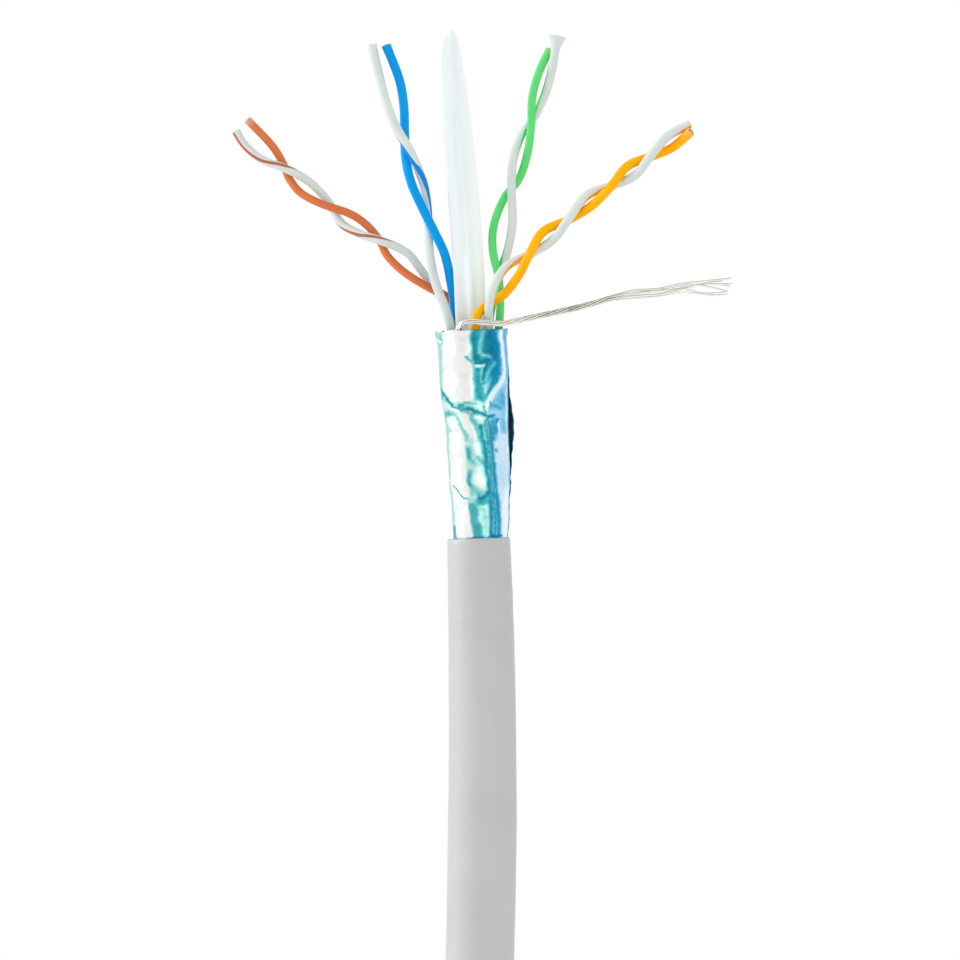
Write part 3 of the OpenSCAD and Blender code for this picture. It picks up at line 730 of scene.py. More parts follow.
# The section where the webs stand in full, and the flat front with a faint ridge that the tip is drawn out
# to. Both have the same number of points, so that any share of the two can be taken.
def separatorSections(sizes):
    half, reach, fillet = sizes["webThickness"] / 2, sizes["webReach"], sizes["fillet"]
    steps, webSteps, foot = sizes["cornerSteps"], sizes["webSteps"], half + fillet
    straight = [(reach - half * 2 - fillet) * k / webSteps for k in range(1, webSteps)]
    cross = []
    for c, s in ((1, 0), (0, 1), (-1, 0), (0, -1)):
        arc = [(reach - half + half * math.cos(a), half * math.sin(a))
               for a in [math.radians(-90 + 180 * k / steps) for k in range(steps + 1)]]
        arc += [(reach - half - down, half) for down in straight]
        arc += [(foot - fillet * math.sin(a), foot - fillet * math.cos(a))
                for a in [math.radians(90 * k / steps) for k in range(steps + 1)]]
        arc += [(half, foot + up) for up in straight]
        cross += [(x * c - y * s, x * s + y * c) for x, y in arc]
    blade = list(cross)
    count = 3 * (steps + 1) + 2 * (webSteps - 1)
    for side, start in ((1, steps + webSteps), (-1, steps + webSteps + len(cross) // 2)):
        for k in range(count):
            x = side * foot * (1 - 2 * k / (count - 1))
            blade[start + k] = (x, side * (half + sizes["ridge"] * (1 + math.cos(math.pi * x / foot)) / 2))
    return cross, blade


# Middle line of the separator: the cable's own, then a slow bend further to the left
def separatorPlace(s, sizes):
    above = s - cable["jacketLength"] - cable["foilLength"]
    if above <= 0:
        mx, mz = middle(s)
        return mx + sway(s), mz, lean(s)
    radius = sizes["bendRadius"]
    bend = min(above, radius * math.radians(sizes["lean"])) / radius
    straight = above - radius * bend
    side = radius * (1 - math.cos(bend)) + straight * math.sin(bend)
    up = radius * math.sin(bend) + straight * math.cos(bend)
    leanCos, leanSin = math.cos(coreLean), math.sin(coreLean)
    return rimX - side * leanCos - up * leanSin, rimZ + up * leanCos - side * leanSin, -coreLean - bend


def separatorMaterial(sizes):
    material, tree, shader = plainMaterial(
        "separatorPlastic", "separator_plastic", Subsurface_Weight=1.0, Subsurface_Scale=0.0007,
        Subsurface_Radius=(0.9, 1.0, 1.0), Specular_IOR_Level=0.12)
    place = objectPlace(tree)
    haze = noiseTexture(tree, place, 180, 3)
    drawn = noiseTexture(tree, objectPlace(tree, (1, 1, 0.04)), 2200, 3)
    # painted light and shade by height: paler low down, darker towards the tip
    height = addNode(tree, "ShaderNodeSeparateXYZ", {0: place}).outputs["Z"]
    low, high = sizes["paintedLightByHeight"][0][0], sizes["paintedLightByHeight"][-1][0]
    base = ramp(tree, mapRange(tree, height, low, high, 0, 1),
                [((z - low) / (high - low), paintedLevel) for z, paintedLevel in sizes["paintedLightByHeight"]])
    base = mixColors(tree, mapRange(tree, haze, 0.4, 0.7, 0, 0.3), base, (0.76, 0.81, 0.81))
    base = mixColors(tree, mapRange(tree, drawn, 0.45, 0.75, 0, 0.25), base, (0.72, 0.80, 0.80))
    finishSurface(tree, shader, base, drawn, (0.38, 0.52), drawn, depth=0.000008, strength=0.4)
    return material


def makeSeparator(sizes):
    cross, blade = separatorSections(sizes)
    total = cable["jacketLength"] + cable["foilLength"] + sizes["freeLength"]
    count = math.ceil((total - sizes["tipStart"]) / sizes["spacing"])
    stops = [i * sizes["spacing"] for i in range(count)] + [total - below for below in sizes["tipRings"]]
    turnCos, turnSin = polar(1, cable["webTurn"])
    points = []
    for stop in stops:
        x0, z0, tilt = separatorPlace(stop, sizes)
        left, right, proud, turned, deep = [between(sizes[name], total - stop)
                                            for name in ("left", "right", "proud", "turned", "tipDepth")]
        for (webX, webY), (flatX, flatY) in zip(cross, blade):
            share, depth = (proud, deep) if webY < 0 else (1, (left + right) / 2)
            along = webX * share + flatX * (1 - share)
            out = (webY * share + flatY * (1 - share)) * depth
            x, y = along * turnCos - out * turnSin * turned, along * turnSin * turned + out * turnCos
            x *= left if x < 0 else right
            points.append(Vector((x0 + x * math.cos(tilt), y, z0 - x * math.sin(tilt))) * mm)
    piece = skin("crossSeparator", points, len(stops))
    piece.data.materials.append(separatorMaterial(sizes))
    return piece


pieces[makeSeparator(separator)] = ("separator", "separator_plastic")
print("separator made")

# Foil tape: wrapped lengthwise, snug in the jacket, crumpled and loosened above it. Heights are above the
# jacket's cut, sideways places run from -1 at the left edge to 1 at the right, widths are in millimetres.
# Its knurled seam runs along seamLine, as (sideways, height).
# The metal's bright and dark places are painted reflections and painted shade, laid on as panels and streaks.
seamLine = [(0.3, 12), (0.38, 10), (0.41, 8), (0.47, 6), (0.51, 4), (0.56, 2), (0.57, 0)]
foil = {
    "frontColumns": 116, "backColumns": 72, "rows": 222, "hiddenRows": 10, "thickness": 0.05, "overlap": 47,
    "seamAngle": 50, "seed": 7, "halfWidth": 3.4,
    # height, reach to the left and to the right of the middle line
    "reach": [(-4, 2.97, 2.97), (-1, 2.78, 3.05), (0, 2.7, 3.08), (2, 2.72, 3.3), (4, 2.78, 3.38),
              (6, 2.93, 3.54), (8, 2.96, 3.64), (10, 3.06, 3.63), (12, 3.1, 3.63), (13, 3.2, 3.66),
              (14, 3.34, 3.7), (15, 3.5, 3.72), (16, 3.55, 3.72), (18, 3.57, 3.8), (20, 3.62, 3.8),
              (22.2, 3.72, 3.78)],
    "depth": [(-4, 2.97), (0, 2.94), (1.5, 3.02), (6.2, 3.2), (10.5, 3.45), (14.7, 3.55), (22.2, 3.68)],
    # waves of the sheet on its mean radius: how close they lie, and how far they stand out
    "waveRadius": 3.3, "broad": (0.5, 0.1), "middling": (1.1, 0.1), "fine": (2.6, 0.03),
    # how far panels and creases wander with the middling and the fine waves, and how many times that behind
    "wander": {"sideways": (0.03, 0.012), "upwards": (0.3, 0.1), "behind": (1.7, 1.5)},
    # degrees round the tape where the second layer and its free edge start to rise, over how many, how far;
    # then the height of the edge's highest place, how far it spreads, and how it curves
    "secondLayer": (345, 15, 0.07), "freeEdge": (372, 35, 0.46), "edgePlace": (11.7, 3.7, 1.3),
    # the corner at the rim: from what height it flares out, over how much, how far, then its angle and spread
    "rimFlare": (20.2, 2.0, 0.5), "flarePlace": (186, 22, 1.5),
    # where, going round, the front's painted reflections, painted shade and dents start to give way to the
    # back's, and over how much of the way
    "frontEnds": (0.12, 0.24),
    # painted shade at the left and right edges: its tone, from how far sideways, over how much; painted
    # shading that the fine waves add
    "paintedEdgeShade": (0.5, 0.965, 0.03), "paintedWaveShade": 0.05,
    # height over which the crumpling sets in above the jacket, and how much calmer the front's waves are
    "crumpledOver": 1.2, "calmer": (0.5, 0.7),
    # share of the waves that shows in the first layer's outline; how unevenly the rim is cut, from how deep
    "outlineShare": 0.35, "rimCut": (0.14, 1.5),
    # half width over which teal turns to blue, how much bluer the foot is, and over what height
    "turnsBlue": (3.6, 0.6, 0.25),
    # soft panels of painted reflection and painted shade: corners as (sideways, height), tone from 0 dark to
    # 1 bright, softness of the border
    "paintedReflectionPanels": [
        ([(-1.3, -1), (1.3, -1), (1.3, 23), (-1.3, 23)], 0.66, 0.3),
        ([(0.3, -1), (1.3, -1), (1.3, 12.6), (0.4, 12.6), (0.3, 8)], 0.72, 0.6),
        ([(-0.88, 22.6), (-0.1, 22.6), (-0.12, 19.5), (-0.04, 17.5), (-0.02, 15.2), (-0.15, 14.7),
          (-0.5, 14.6), (-0.74, 15.1), (-0.9, 16.3), (-0.89, 19)], 1, 0.34),
        ([(0.02, 22.6), (0.74, 22.6), (0.8, 20), (0.82, 18.5), (0.78, 17.3), (0.6, 16.5), (0.45, 15),
          (0.3, 14.2), (0.06, 14.7), (0.04, 18)], 0.19, 0.34),
        ([(0.28, 16.2), (0.52, 17.1), (0.45, 15.8), (0.33, 14.5), (0.28, 14)], 0.56, 0.3),
        ([(0.6, 16), (0.95, 16.2), (0.95, 13), (0.5, 13.1), (0.36, 13.7)], 0.5, 0.4),
        ([(-0.72, 14.3), (-0.3, 14.45), (0, 14.55), (0.2, 14.2), (0.22, 13.6), (-0.2, 13.6),
          (-0.5, 13.9)], 0.58, 0.2),
        ([(-0.9, 12.9), (-0.72, 13.2), (-0.52, 12), (-0.38, 10.3), (-0.4, 8), (-0.36, 6.4), (-0.3, 5),
          (-0.35, 4), (-0.3, 2.5), (-0.22, 0), (-0.86, 0), (-0.9, 6)], 1, 0.3),
        ([(-0.5, 13.4), (-0.15, 13.1), (-0.02, 11.8), (0.02, 10.6), (-0.22, 10.6), (-0.35, 12)], 1, 0.24),
        ([(-0.3, 10.1), (-0.06, 10.3), (0.3, 9), (0.34, 5.2), (0.2, 4.6), (-0.1, 5), (-0.3, 6)], 0.6, 0.5),
        ([(-0.34, 9.8), (-0.16, 9.6), (-0.12, 8.6), (0, 7.7), (-0.16, 7.8), (-0.31, 8.5)], 0.38, 0.36),
        ([(-0.04, 10.2), (0.12, 9.9), (0.2, 8.9), (0.04, 8.9)], 0.8, 0.32),
        ([(-0.14, 6.9), (0.02, 7.4), (0.15, 6.9), (0.25, 5.9), (0.2, 5.25), (0.02, 5.3),
          (-0.12, 5.9)], 0.8, 0.44),
        ([(-0.36, 3.8), (-0.1, 4.2), (0.03, 3.4), (0.04, 2.2), (0.14, 1), (0.2, 0), (-0.18, 0),
          (-0.3, 2)], 0.29, 0.34),
        ([(0.08, 3.4), (0.26, 3.3), (0.34, 2.5), (0.34, 0.8), (0.25, 0.3), (0.15, 1.5)], 0.48, 0.32),
        ([(0.58, 12), (0.9, 11.4), (0.92, 5), (0.95, 0), (0.8, 0), (0.72, 4), (0.62, 7),
          (0.58, 10)], 0.78, 0.3),
        ([(0.44, 12.7), (0.74, 12.6), (0.76, 11.7), (0.64, 10.6), (0.5, 10.2), (0.44, 11)], 0.44, 0.34),
        ([(0.95, 5.4), (0.82, 3.6), (0.78, 2.2), (0.84, 0), (1.1, 0), (1.1, 5)], 1, 0.3),
    ],
    # half the width of the knurled seam
    "seam": 0.3,
    # creases and streaks, each with its painted shade or painted highlight: line as (sideways, height), half
    # width, painted tone, how far it is pushed in (out below 0)
    "streaks": [
        ([(-0.98, 22.4), (-0.93, 20), (-0.97, 16)], 0.2, 0.5, 0),
        ([(-0.86, 21.9), (-0.87, 20.9)], 0.18, 0.42, 0.03),
        ([(-0.97, 21.3), (-0.9, 20.9)], 0.1, 0.86, 0),
        ([(-0.98, 13), (-0.97, 6.5), (-0.96, 1)], 0.14, 0.52, 0),
        ([(-0.85, 16.1), (-0.45, 15.9), (-0.3, 15.5)], 0.1, 0.82, 0.02),
        ([(-0.2, 19.2), (-0.05, 18.95), (0.1, 18.75)], 0.11, 0.33, 0.06),
        ([(-0.19, 19.2), (-0.16, 19.1)], 0.22, 0.36, 0.03),
        ([(0.08, 21.6), (0.1, 20.6), (0.12, 19.4)], 0.32, 0.1, 0.02),
        ([(0.35, 22.2), (0.31, 21.3), (0.23, 20.6), (0.22, 19.9), (0.32, 19.4),
          (0.48, 19.25)], 0.22, 0.36, -0.05),
        ([(0.3, 19.5), (0.46, 19.3)], 0.12, 0.5, -0.02),
        ([(0.5, 21.5), (0.56, 19.8)], 0.35, 0.13, 0.02),
        ([(0.12, 18.78), (0.24, 18.72), (0.38, 18.74)], 0.14, 0.08, 0.1),
        ([(0.12, 18.46), (0.25, 18.36), (0.38, 18.44)], 0.16, 0.76, -0.05),
        ([(0.27, 18.2), (0.27, 17.4), (0.24, 16.8)], 0.19, 0.46, -0.04),
        ([(0.45, 18.8), (0.35, 18), (0.3, 17)], 0.14, 0.12, 0.05),
        ([(0.63, 18.8), (0.48, 17.8), (0.38, 16.9)], 0.14, 0.4, -0.03),
        ([(0.13, 17.6), (0.13, 15.2)], 0.28, 0.2, 0.02),
        ([(0.01, 17), (0.02, 16.4)], 0.12, 0.36, 0),
        ([(0.2, 16.3), (0.25, 15.6), (0.27, 14.8)], 0.1, 0.22, 0.03),
        ([(0.7, 17), (0.5, 15.8), (0.37, 14.8), (0.31, 13.9)], 0.16, 0.2, 0.08),
        ([(0.96, 22.6), (0.97, 20), (0.98, 17)], 0.16, 0.28, 0),
        ([(0.83, 22.6), (0.84, 21), (0.87, 19.5), (0.88, 17.8), (0.84, 17)], 0.14, 0.95, -0.05),
        ([(0.86, 17), (0.64, 15.8), (0.49, 14.9), (0.35, 14)], 0.2, 0.9, -0.09),
        ([(0.47, 14.4), (0.5, 14)], 0.14, 0.33, 0.02),
        ([(0.6, 14), (0.72, 13.85)], 0.2, 0.33, 0.03),
        ([(0.52, 13.4), (0.75, 13.3)], 0.22, 0.64, -0.03),
        ([(0.82, 15.2), (0.84, 14.1)], 0.16, 0.4, 0.02),
        ([(0.95, 15.6), (0.94, 13), (0.94, 9)], 0.08, 0.86, -0.03),
        ([(1, 16.2), (1.01, 6)], 0.1, 0.1, 0),
        ([(-1.02, 15.9), (-0.86, 15.15), (-0.76, 14.5), (-0.7, 14.2)], 0.14, 0.1, 0.16),
        ([(-0.5, 14.02), (-0.36, 14)], 0.13, 0.2, 0.04),
        ([(-0.32, 14.3), (-0.08, 14.45), (0.04, 14.2)], 0.12, 0.34, 0.05),
        ([(0, 13.95), (0.17, 13.8)], 0.15, 0.74, -0.04),
        ([(-0.72, 13.95), (-0.45, 13.76), (-0.2, 13.52)], 0.1, 0.25, 0.12),
        ([(-0.2, 13.6), (0, 13.4), (0.25, 13.12), (0.4, 13), (0.56, 13)], 0.17, 0.15, 0.1),
        ([(0.28, 13.9), (0.34, 13.3)], 0.08, 0.2, 0.04),
        ([(-0.14, 13.15), (0.1, 12.85), (0.34, 12.6)], 0.16, 0.72, -0.03),
        ([(0.42, 12.8), (0.31, 12.4), (0.33, 11.9)], 0.09, 0.24, 0.05),
        ([(-0.95, 13.3), (-0.8, 13.22)], 0.3, 0.3, 0.07),
        ([(-0.92, 11.6), (-0.84, 11.5)], 0.28, 0.5, 0.03),
        ([(-0.68, 13.3), (-0.5, 12.4), (-0.38, 11.5), (-0.3, 10.7)], 0.25, 0.44, 0.07),
        ([(-0.1, 13), (0.02, 12.2), (0.1, 11.2), (0.17, 10.2), (0.24, 9.2)], 0.26, 0.38, 0.05),
        ([(-0.25, 9.5), (-0.23, 8.6)], 0.2, 0.26, 0.04),
        ([(0.05, 8.7), (0.2, 8.2), (0.28, 7.7)], 0.15, 0.34, 0.05),
        ([(-0.25, 6.9), (-0.31, 6.2), (-0.2, 5.4), (-0.05, 4.9), (0.15, 4.5)], 0.34, 0.4, 0.09),
        ([(-0.29, 6.6), (-0.29, 6), (-0.24, 5.6)], 0.18, 0.27, 0.02),
        ([(-0.84, 5.7), (-0.75, 5.05), (-0.62, 4.55), (-0.47, 4.32), (-0.32, 4.28)], 0.11, 0.2, 0.08),
        ([(-0.95, 6.4), (-0.7, 6.1), (-0.5, 5.4)], 0.08, 0.84, -0.03),
        ([(-0.35, 4.2), (-0.15, 4.1)], 0.14, 0.55, 0.02),
        ([(0.1, 4.2), (0.25, 4.4), (0.36, 4.7)], 0.28, 0.18, 0.12),
        ([(0, 3.9), (0.18, 3.8), (0.36, 3.9)], 0.26, 0.26, 0.06),
        ([(0.15, 4.2), (0.34, 4.45)], 0.26, 0.17, 0.04),
        ([(-0.06, 1.3), (0, 0.7)], 0.3, 0.26, 0.02),
        ([(0.17, 11.8), (0.27, 10), (0.3, 9), (0.33, 7), (0.38, 5.5), (0.43, 4.5), (0.43, 3),
          (0.45, 0)], 0.21, 0.16, 0.05),
        (seamLine, 0.17, 0.31, 0),
        ([(0.42, 12.4), (0.46, 11), (0.49, 9.5), (0.51, 8), (0.57, 6), (0.62, 4.5)], 0.16, 0.23, 0.06),
        ([(0.62, 4.5), (0.66, 3), (0.69, 1), (0.7, 0)], 0.21, 0.23, 0.04),
        ([(0.55, 12.5), (0.6, 11.2)], 0.14, 0.25, 0.04),
        ([(0.66, 12.4), (0.69, 11.3)], 0.12, 0.27, 0.03),
        ([(0.84, 12.5), (0.86, 11.3)], 0.22, 0.48, 0.02),
        ([(0.6, 9.4), (0.62, 9.2)], 0.12, 0.4, 0.02),
        ([(0.7, 12.2), (0.72, 11)], 0.08, 0.86, -0.04),
        ([(0.48, 12), (0.54, 10.6)], 0.14, 0.24, 0.03),
        ([(0.76, 13), (0.9, 12.7)], 0.12, 0.6, 0.02),
        ([(0.75, 7.6), (0.8, 5.6)], 0.3, 0.72, 0.01),
        ([(-0.96, 1.3), (-0.93, 0)], 0.18, 0.22, 0.02),
        ([(-1, 0.06), (-0.3, 0.06)], 0.1, 0.36, 0),
        ([(-0.3, 0.06), (0.78, 0.08)], 0.12, 0.16, 0.02),
    ],
    # how wide and how hard a streak's painted tone is drawn, and how deep and how wide it is dented
    "drawn": (1.25, 2.4), "dented": (0.6, 1.6),
    # painted tones from painted shade to painted highlight, on the left and on the right of the tape
    "tones": (0, 0.2, 0.4, 0.6, 0.8, 0.95),
    "teal": ((0.0, 0.09, 0.13), (0.015, 0.29, 0.35), (0.15, 0.53, 0.53), (0.46, 0.76, 0.70),
             (0.80, 0.91, 0.88), (0.83, 0.84, 0.83)),
    "blue": ((0.0, 0.07, 0.18), (0.0, 0.25, 0.45), (0.07, 0.44, 0.70), (0.30, 0.64, 0.88),
             (0.66, 0.83, 0.95), (0.86, 0.92, 0.95)),
    "film": ((0.3, (0.08, 0.11, 0.16)), (0.55, (0.10, 0.13, 0.2)), (0.75, (0.12, 0.2, 0.32))),
}


# Distance in millimetres of every point from a line of places on the foil
def distanceToLine(u, h, line, width):
    best = np.full(np.broadcast(u, h).shape, 1e9)
    for (u0, h0), (u1, h1) in zip(line, line[1:]):
        du, dh = (u1 - u0) * width, h1 - h0
        pu, ph = (u - u0) * width, h - h0
        t = np.clip((pu * du + ph * dh) / (du * du + dh * dh), 0, 1)
        best = np.minimum(best, np.hypot(pu - du * t, ph - dh * t))
    return best


def insidePanel(u, h, corners):
    inside = np.zeros(np.broadcast(u, h).shape, bool)
    for (u0, h0), (u1, h1) in zip(corners, corners[1:] + corners[:1]):
        if h0 != h1:
            inside ^= ((h0 > h) != (h1 > h)) & (u < (u1 - u0) * (h - h0) / (h1 - h0) + u0)
    return inside


def softStep(x):
    x = np.clip(x, 0, 1)
    return x * x * (3 - 2 * x)


# Painted reflections and painted shade of the metal, and how far it is pushed in, at every place of the front
def paintedFoilLightAndDents(u, h, sizes, wanderU, wanderH):
    wide = sizes["halfWidth"]
    (drawnWidth, hardness), (push, dentWidth) = sizes["drawn"], sizes["dented"]
    paintedReflection, dent = np.zeros(u.shape), np.zeros(u.shape)
    uw, hw = u + wanderU, h + wanderH
    for corners, target, soft in sizes["paintedReflectionPanels"]:
        d = distanceToLine(uw, hw, corners + corners[:1], wide)
        d = np.where(insidePanel(uw, hw, corners), d, -d)
        paintedReflection += (target - paintedReflection) * softStep(0.5 + d / (2 * soft))
    for line, half, target, depth in sizes["streaks"]:
        d = distanceToLine(uw, hw, line, wide)
        paintedReflection += (target - paintedReflection) * np.exp(-(d / (half * drawnWidth)) ** hardness)
        dent += push * depth * np.exp(-(distanceToLine(u, h, line, wide) / (half * dentWidth)) ** 2)
    return paintedReflection, dent


def noiseOver(points, scale, shift):
    return np.array([noise.noise(Vector(p) * scale + Vector(shift)) for p in points])


def columnAngles(sizes):
    front = list(np.linspace(0, -180, sizes["frontColumns"] + 1))
    start, end = sizes["seamAngle"], sizes["seamAngle"] - 360 - sizes["overlap"]
    before = round(sizes["backColumns"] * start / (start + (-180 - end)))
    return np.array(list(np.linspace(start, 0, before + 1))[:-1] + front
                    + list(np.linspace(-180, end, sizes["backColumns"] - before + 1))[1:])


# The sheet's uneven places, as three sizes of waves over its rows and columns
def foilWaves(u, side, h, sizes):
    radius, seed = sizes["waveRadius"], sizes["seed"]
    around = np.stack([u.ravel() * radius, side.ravel() * radius, h.ravel()], 1)
    shifts = {"broad": (seed, 0, 0), "middling": (0, seed, 0), "fine": (0, 0, seed)}
    return [noiseOver(around, sizes[name][0], shift).reshape(u.shape) for name, shift in shifts.items()]


def makeFoilSheet(sizes):
    top, hidden = cable["foilLength"], sizes["hiddenRows"]
    heights = np.array([-cable["jacketLength"] * (1 - i / hidden) for i in range(hidden)]
                       + [top * i / sizes["rows"] for i in range(sizes["rows"] + 1)])
    turned, h = np.meshgrid(columnAngles(sizes), heights)
    angle, along = np.radians(turned), sizes["seamAngle"] - turned
    u, side = np.cos(angle), np.sin(angle)
    broad, middling, fine = foilWaves(u, side, h, sizes)
    wander = sizes["wander"]
    wanderU, wanderH = [a * middling + b * fine for a, b in (wander["sideways"], wander["upwards"])]
    moreU, moreH = wander["behind"]
    paintedReflection, dent = paintedFoilLightAndDents(u, h, sizes, wanderU, wanderH)
    # behind, the tape is crumpled in the same way, the other way up, with painted reflections and painted
    # shade to match
    backPaintedReflection, backDent = paintedFoilLightAndDents(-u, top - h, sizes, moreU * wanderU, moreH * wanderH)
    firstLayer = along < 360
    begin, over = sizes["frontEnds"]
    front = softStep((begin - side) / over) * firstLayer
    paintedReflection = backPaintedReflection + (paintedReflection - backPaintedReflection) * front + sizes["paintedWaveShade"] * fine
    # painted shade, grey, where the sheet turns away at the left and right edges
    edgeShadeLevel, begin, over = sizes["paintedEdgeShade"]
    paintedReflection += (edgeShadeLevel - paintedReflection) * softStep((np.abs(u) - begin) / over) * firstLayer
    dent = backDent + (dent - backDent) * front
    # smooth inside the jacket, crumpled from just above its cut
    shown, calmer = softStep(h / sizes["crumpledOver"]), sizes["calmer"]
    out = shown * (sizes["broad"][1] * broad + sizes["middling"][1] * middling * (1 - calmer[0] * front)
                   + sizes["fine"][1] * fine * (1 - calmer[1] * front) - dent)
    # the second layer lies on the first, and its free edge lifts away
    begin, over, rise = sizes["secondLayer"]
    out += rise * np.clip((along - begin) / over, 0, 1)
    (begin, over, rise), (place, spread, curve) = sizes["freeEdge"], sizes["edgePlace"]
    lifted = np.clip((along - begin) / over, 0, 1)
    out += shown * lifted ** curve * rise * np.exp(-((h - place) / spread) ** 2)
    (begin, over, rise), (place, spread, curve) = sizes["rimFlare"], sizes["flarePlace"]
    flare = np.clip((h - begin) / over, 0, 1)
    out += rise * flare ** curve * np.exp(-((np.degrees(angle) % 360 - place) / spread) ** 2)
    left, right = [[(row[0], row[i]) for row in sizes["reach"]] for i in (1, 2)]
    toLeft, toRight, deep = [np.array([between(stops, v) for v in heights])[:, None]
                             for stops in (left, right, sizes["depth"])]
    # the first layer's outline wavers less than its front
    least = sizes["outlineShare"]
    wavering = np.where(firstLayer, least + (1 - least) * np.abs(side), 1)
    x = (np.where(u > 0, toRight, toLeft) + out * wavering) * u
    y = (deep + out) * side
    # the rim's edge is cut unevenly
    uneven, deepest = sizes["rimCut"]
    rise = uneven * middling * np.clip((h - top + deepest) / deepest, 0, 1)
    points = [inCable(cable["jacketLength"] + a, b, c) * mm
              for a, b, c in zip((h + rise).ravel(), x.ravel(), y.ravel())]
    sheet = skin("foilTapeSheet", points, len(heights), closed=False)
    seam = front * np.exp(-(distanceToLine(u, h, seamLine, sizes["halfWidth"]) / sizes["seam"]) ** 4)
    # the tape turns from teal to blue towards its right side and its foot
    half, bluer, foot = sizes["turnsBlue"]
    sideways = x / half + bluer * np.exp(-(h / foot) ** 2)
    for name, values in (("paintedReflection", np.clip(paintedReflection, 0, 1)), ("seam", seam), ("sideways", sideways)):
        sheet.data.attributes.new(name, "FLOAT", "POINT").data.foreach_set("value", values.ravel())
    return sheet


def foilMaterial(sizes):
    material, tree, shader = plainMaterial("foilMetal", "foil", Metallic=0.85)
    place = objectPlace(tree)
    flecks = mapRange(tree, noiseTexture(tree, place, 1500, 4, 0.6), 0.2, 0.8, -0.05, 0.05)
    dots = addNode(tree, "ShaderNodeTexVoronoi", {"Vector": place, "Scale": 4200.0, "Randomness": 0.35})
    knurl = combine(tree, "MULTIPLY", attribute(tree, "seam"),
                    mapRange(tree, dots.outputs["Distance"], 0.1, 0.6, 0.14, -0.08))
    # the metal's colour is painted reflection and painted shade, with random flecks and the seam's knurl on
    # top
    paintedReflection = combine(tree, "ADD", attribute(tree, "paintedReflection"), combine(tree, "ADD", flecks, knurl))
    teal, blue = [ramp(tree, paintedReflection, list(zip(sizes["tones"], sizes[name]))) for name in ("teal", "blue")]
    side = mapRange(tree, attribute(tree, "sideways"), 0.2, 0.75, 0, 1, smooth=True)
    rub = noiseTexture(tree, place, 2200, 3)
    hatch = noiseTexture(tree, objectPlace(tree, (0.3, 0.3, 1)), 5200, 2)
    relief = combine(tree, "ADD", rub, combine(tree, "MULTIPLY", hatch, 0.6))
    finishSurface(tree, shader, mixColors(tree, side, teal, blue), rub, (0.26, 0.40), relief,
                  depth=0.00003, strength=0.4)
    return material


# The tape's inner face is dark blue polyester film
def filmMaterial(sizes):
    material, tree, shader = plainMaterial("blueFilm", "foil", Metallic=0.2)
    place = objectPlace(tree)
    clouds = noiseTexture(tree, place, 700, 3)
    relief = noiseTexture(tree, place, 2500, 3)
    finishSurface(tree, shader, ramp(tree, clouds, sizes["film"]), clouds, (0.3, 0.45), relief,
                  depth=0.00004, strength=0.4)
    return material


def makeFoil(sizes):
    sheet = makeFoilSheet(sizes)
    for material in (foilMaterial(sizes), filmMaterial(sizes)):
        sheet.data.materials.append(material)
    wall = sheet.modifiers.new("wall", "SOLIDIFY")
    wall.thickness = sizes["thickness"] * mm
    wall.offset = -1
    wall.material_offset = 1
    return asPlainMesh(sheet, "foilTape")


pieces[makeFoil(foil)] = ("foil_screen", "foil")
print("foil made")

# Each piece rides on the one body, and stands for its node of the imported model
body = next(iter(frame["bodies"]))
for piece, (nodes, slot) in pieces.items():
    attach(piece, body)
    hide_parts(*([nodes] if isinstance(nodes, str) else nodes))
print("pieces riding:", len(pieces))

# Studio: a pale floor that fades into a white surround, and soft lamps with the key on the left, in metres
studio = {
    "floorSize": 0.5, "floorBelow": 0.0002, "fade": (0.45, 0.98), "paint": (0.9, 0.9, 0.9),
    # how bright the surround lights the piece, and how bright its ceiling is in reflections
    "surround": 0.92, "ceiling": 0.35,
    # lamps: name, place, size and power; all of them aim at one place
    "lamps": [("keyLamp", (-0.8, 0.02, 0.3), 0.3, 3.2), ("fillLamp", (0.3, -0.8, 0.2), 0.5, 0.6)],
    "aim": (0, 0, 0.07),
}


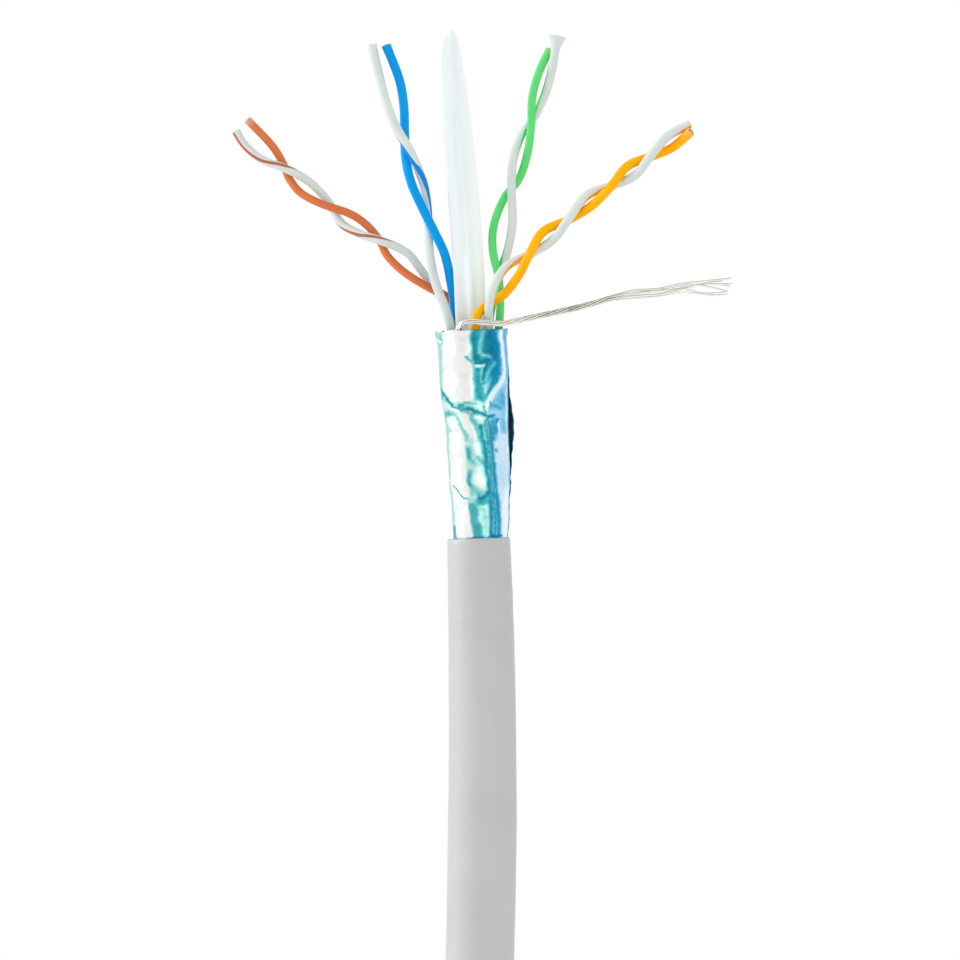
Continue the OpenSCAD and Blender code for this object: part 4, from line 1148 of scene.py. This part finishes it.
def makeFloor(sizes):
    half = sizes["floorSize"] / 2
    floor = bpy.data.meshes.new("studioFloor")
    corners = [(-half, -half, 0), (half, -half, 0), (half, half, 0), (-half, half, 0)]
    floor.from_pydata(corners, [], [(0, 1, 2, 3)])
    material, tree, shader = plainMaterial("studioFloorPaint", None, Base_Color=sizes["paint"], Roughness=0.9)
    coords = addNode(tree, "ShaderNodeTexCoord", {})
    fromMiddle = addNode(tree, "ShaderNodeVectorMath", {0: coords.outputs["Object"]}, operation="LENGTH")
    start, end = sizes["fade"]
    fade = mapRange(tree, fromMiddle.outputs["Value"], half * start, half * end, 0, 1, smooth=True)
    clear = addNode(tree, "ShaderNodeBsdfTransparent", {})
    mix = addNode(tree, "ShaderNodeMixShader", {0: fade, 1: shader.outputs[0], 2: clear.outputs[0]})
    tree.links.new(mix.outputs[0], tree.nodes["Material Output"].inputs["Surface"])
    floor.materials.append(material)
    floorObject = linked("studioFloor", floor)
    floorObject.location.z = -sizes["floorBelow"]


def makeLamp(name, place, size, power, aim):
    lamp = bpy.data.lights.new(name, "AREA")
    lamp.size = size
    lamp.energy = power
    lampObject = bpy.data.objects.new(name, lamp)
    lampObject.location = place
    lampObject.rotation_euler = (Vector(aim) - Vector(place)).to_track_quat("-Z", "Y").to_euler()
    bpy.context.scene.collection.objects.link(lampObject)


def makeSurround(sizes):
    world = bpy.data.worlds.new("surround")
    bpy.context.scene.world = world
    world.use_nodes = True
    tree = world.node_tree
    rays = addNode(tree, "ShaderNodeLightPath", {}).outputs
    seen = combine(tree, "MAXIMUM", rays["Is Camera Ray"], rays["Is Transmission Ray"])
    # the surround is white, and its ceiling a little darker in reflections
    coords = addNode(tree, "ShaderNodeTexCoord", {})
    height = addNode(tree, "ShaderNodeSeparateXYZ", {0: coords.outputs["Generated"]}).outputs["Z"]
    mirrored = mapRange(tree, height, 0.0, 0.8, 1.0, sizes["ceiling"], smooth=True)
    lit = addNode(tree, "ShaderNodeMix", {0: rays["Is Glossy Ray"], 2: sizes["surround"], 3: mirrored})
    level = addNode(tree, "ShaderNodeMix", {0: seen, 2: lit.outputs[0], 3: 1.0})
    background = tree.nodes["Background"]
    background.inputs["Color"].default_value = (1, 1, 1, 1)
    tree.links.new(level.outputs[0], background.inputs["Strength"])


makeFloor(studio)
for name, place, size, power in studio["lamps"]:
    makeLamp(name, place, size, power, studio["aim"])
makeSurround(studio)
bpy.context.scene.view_settings.view_transform = "Standard"
print("scene ready")
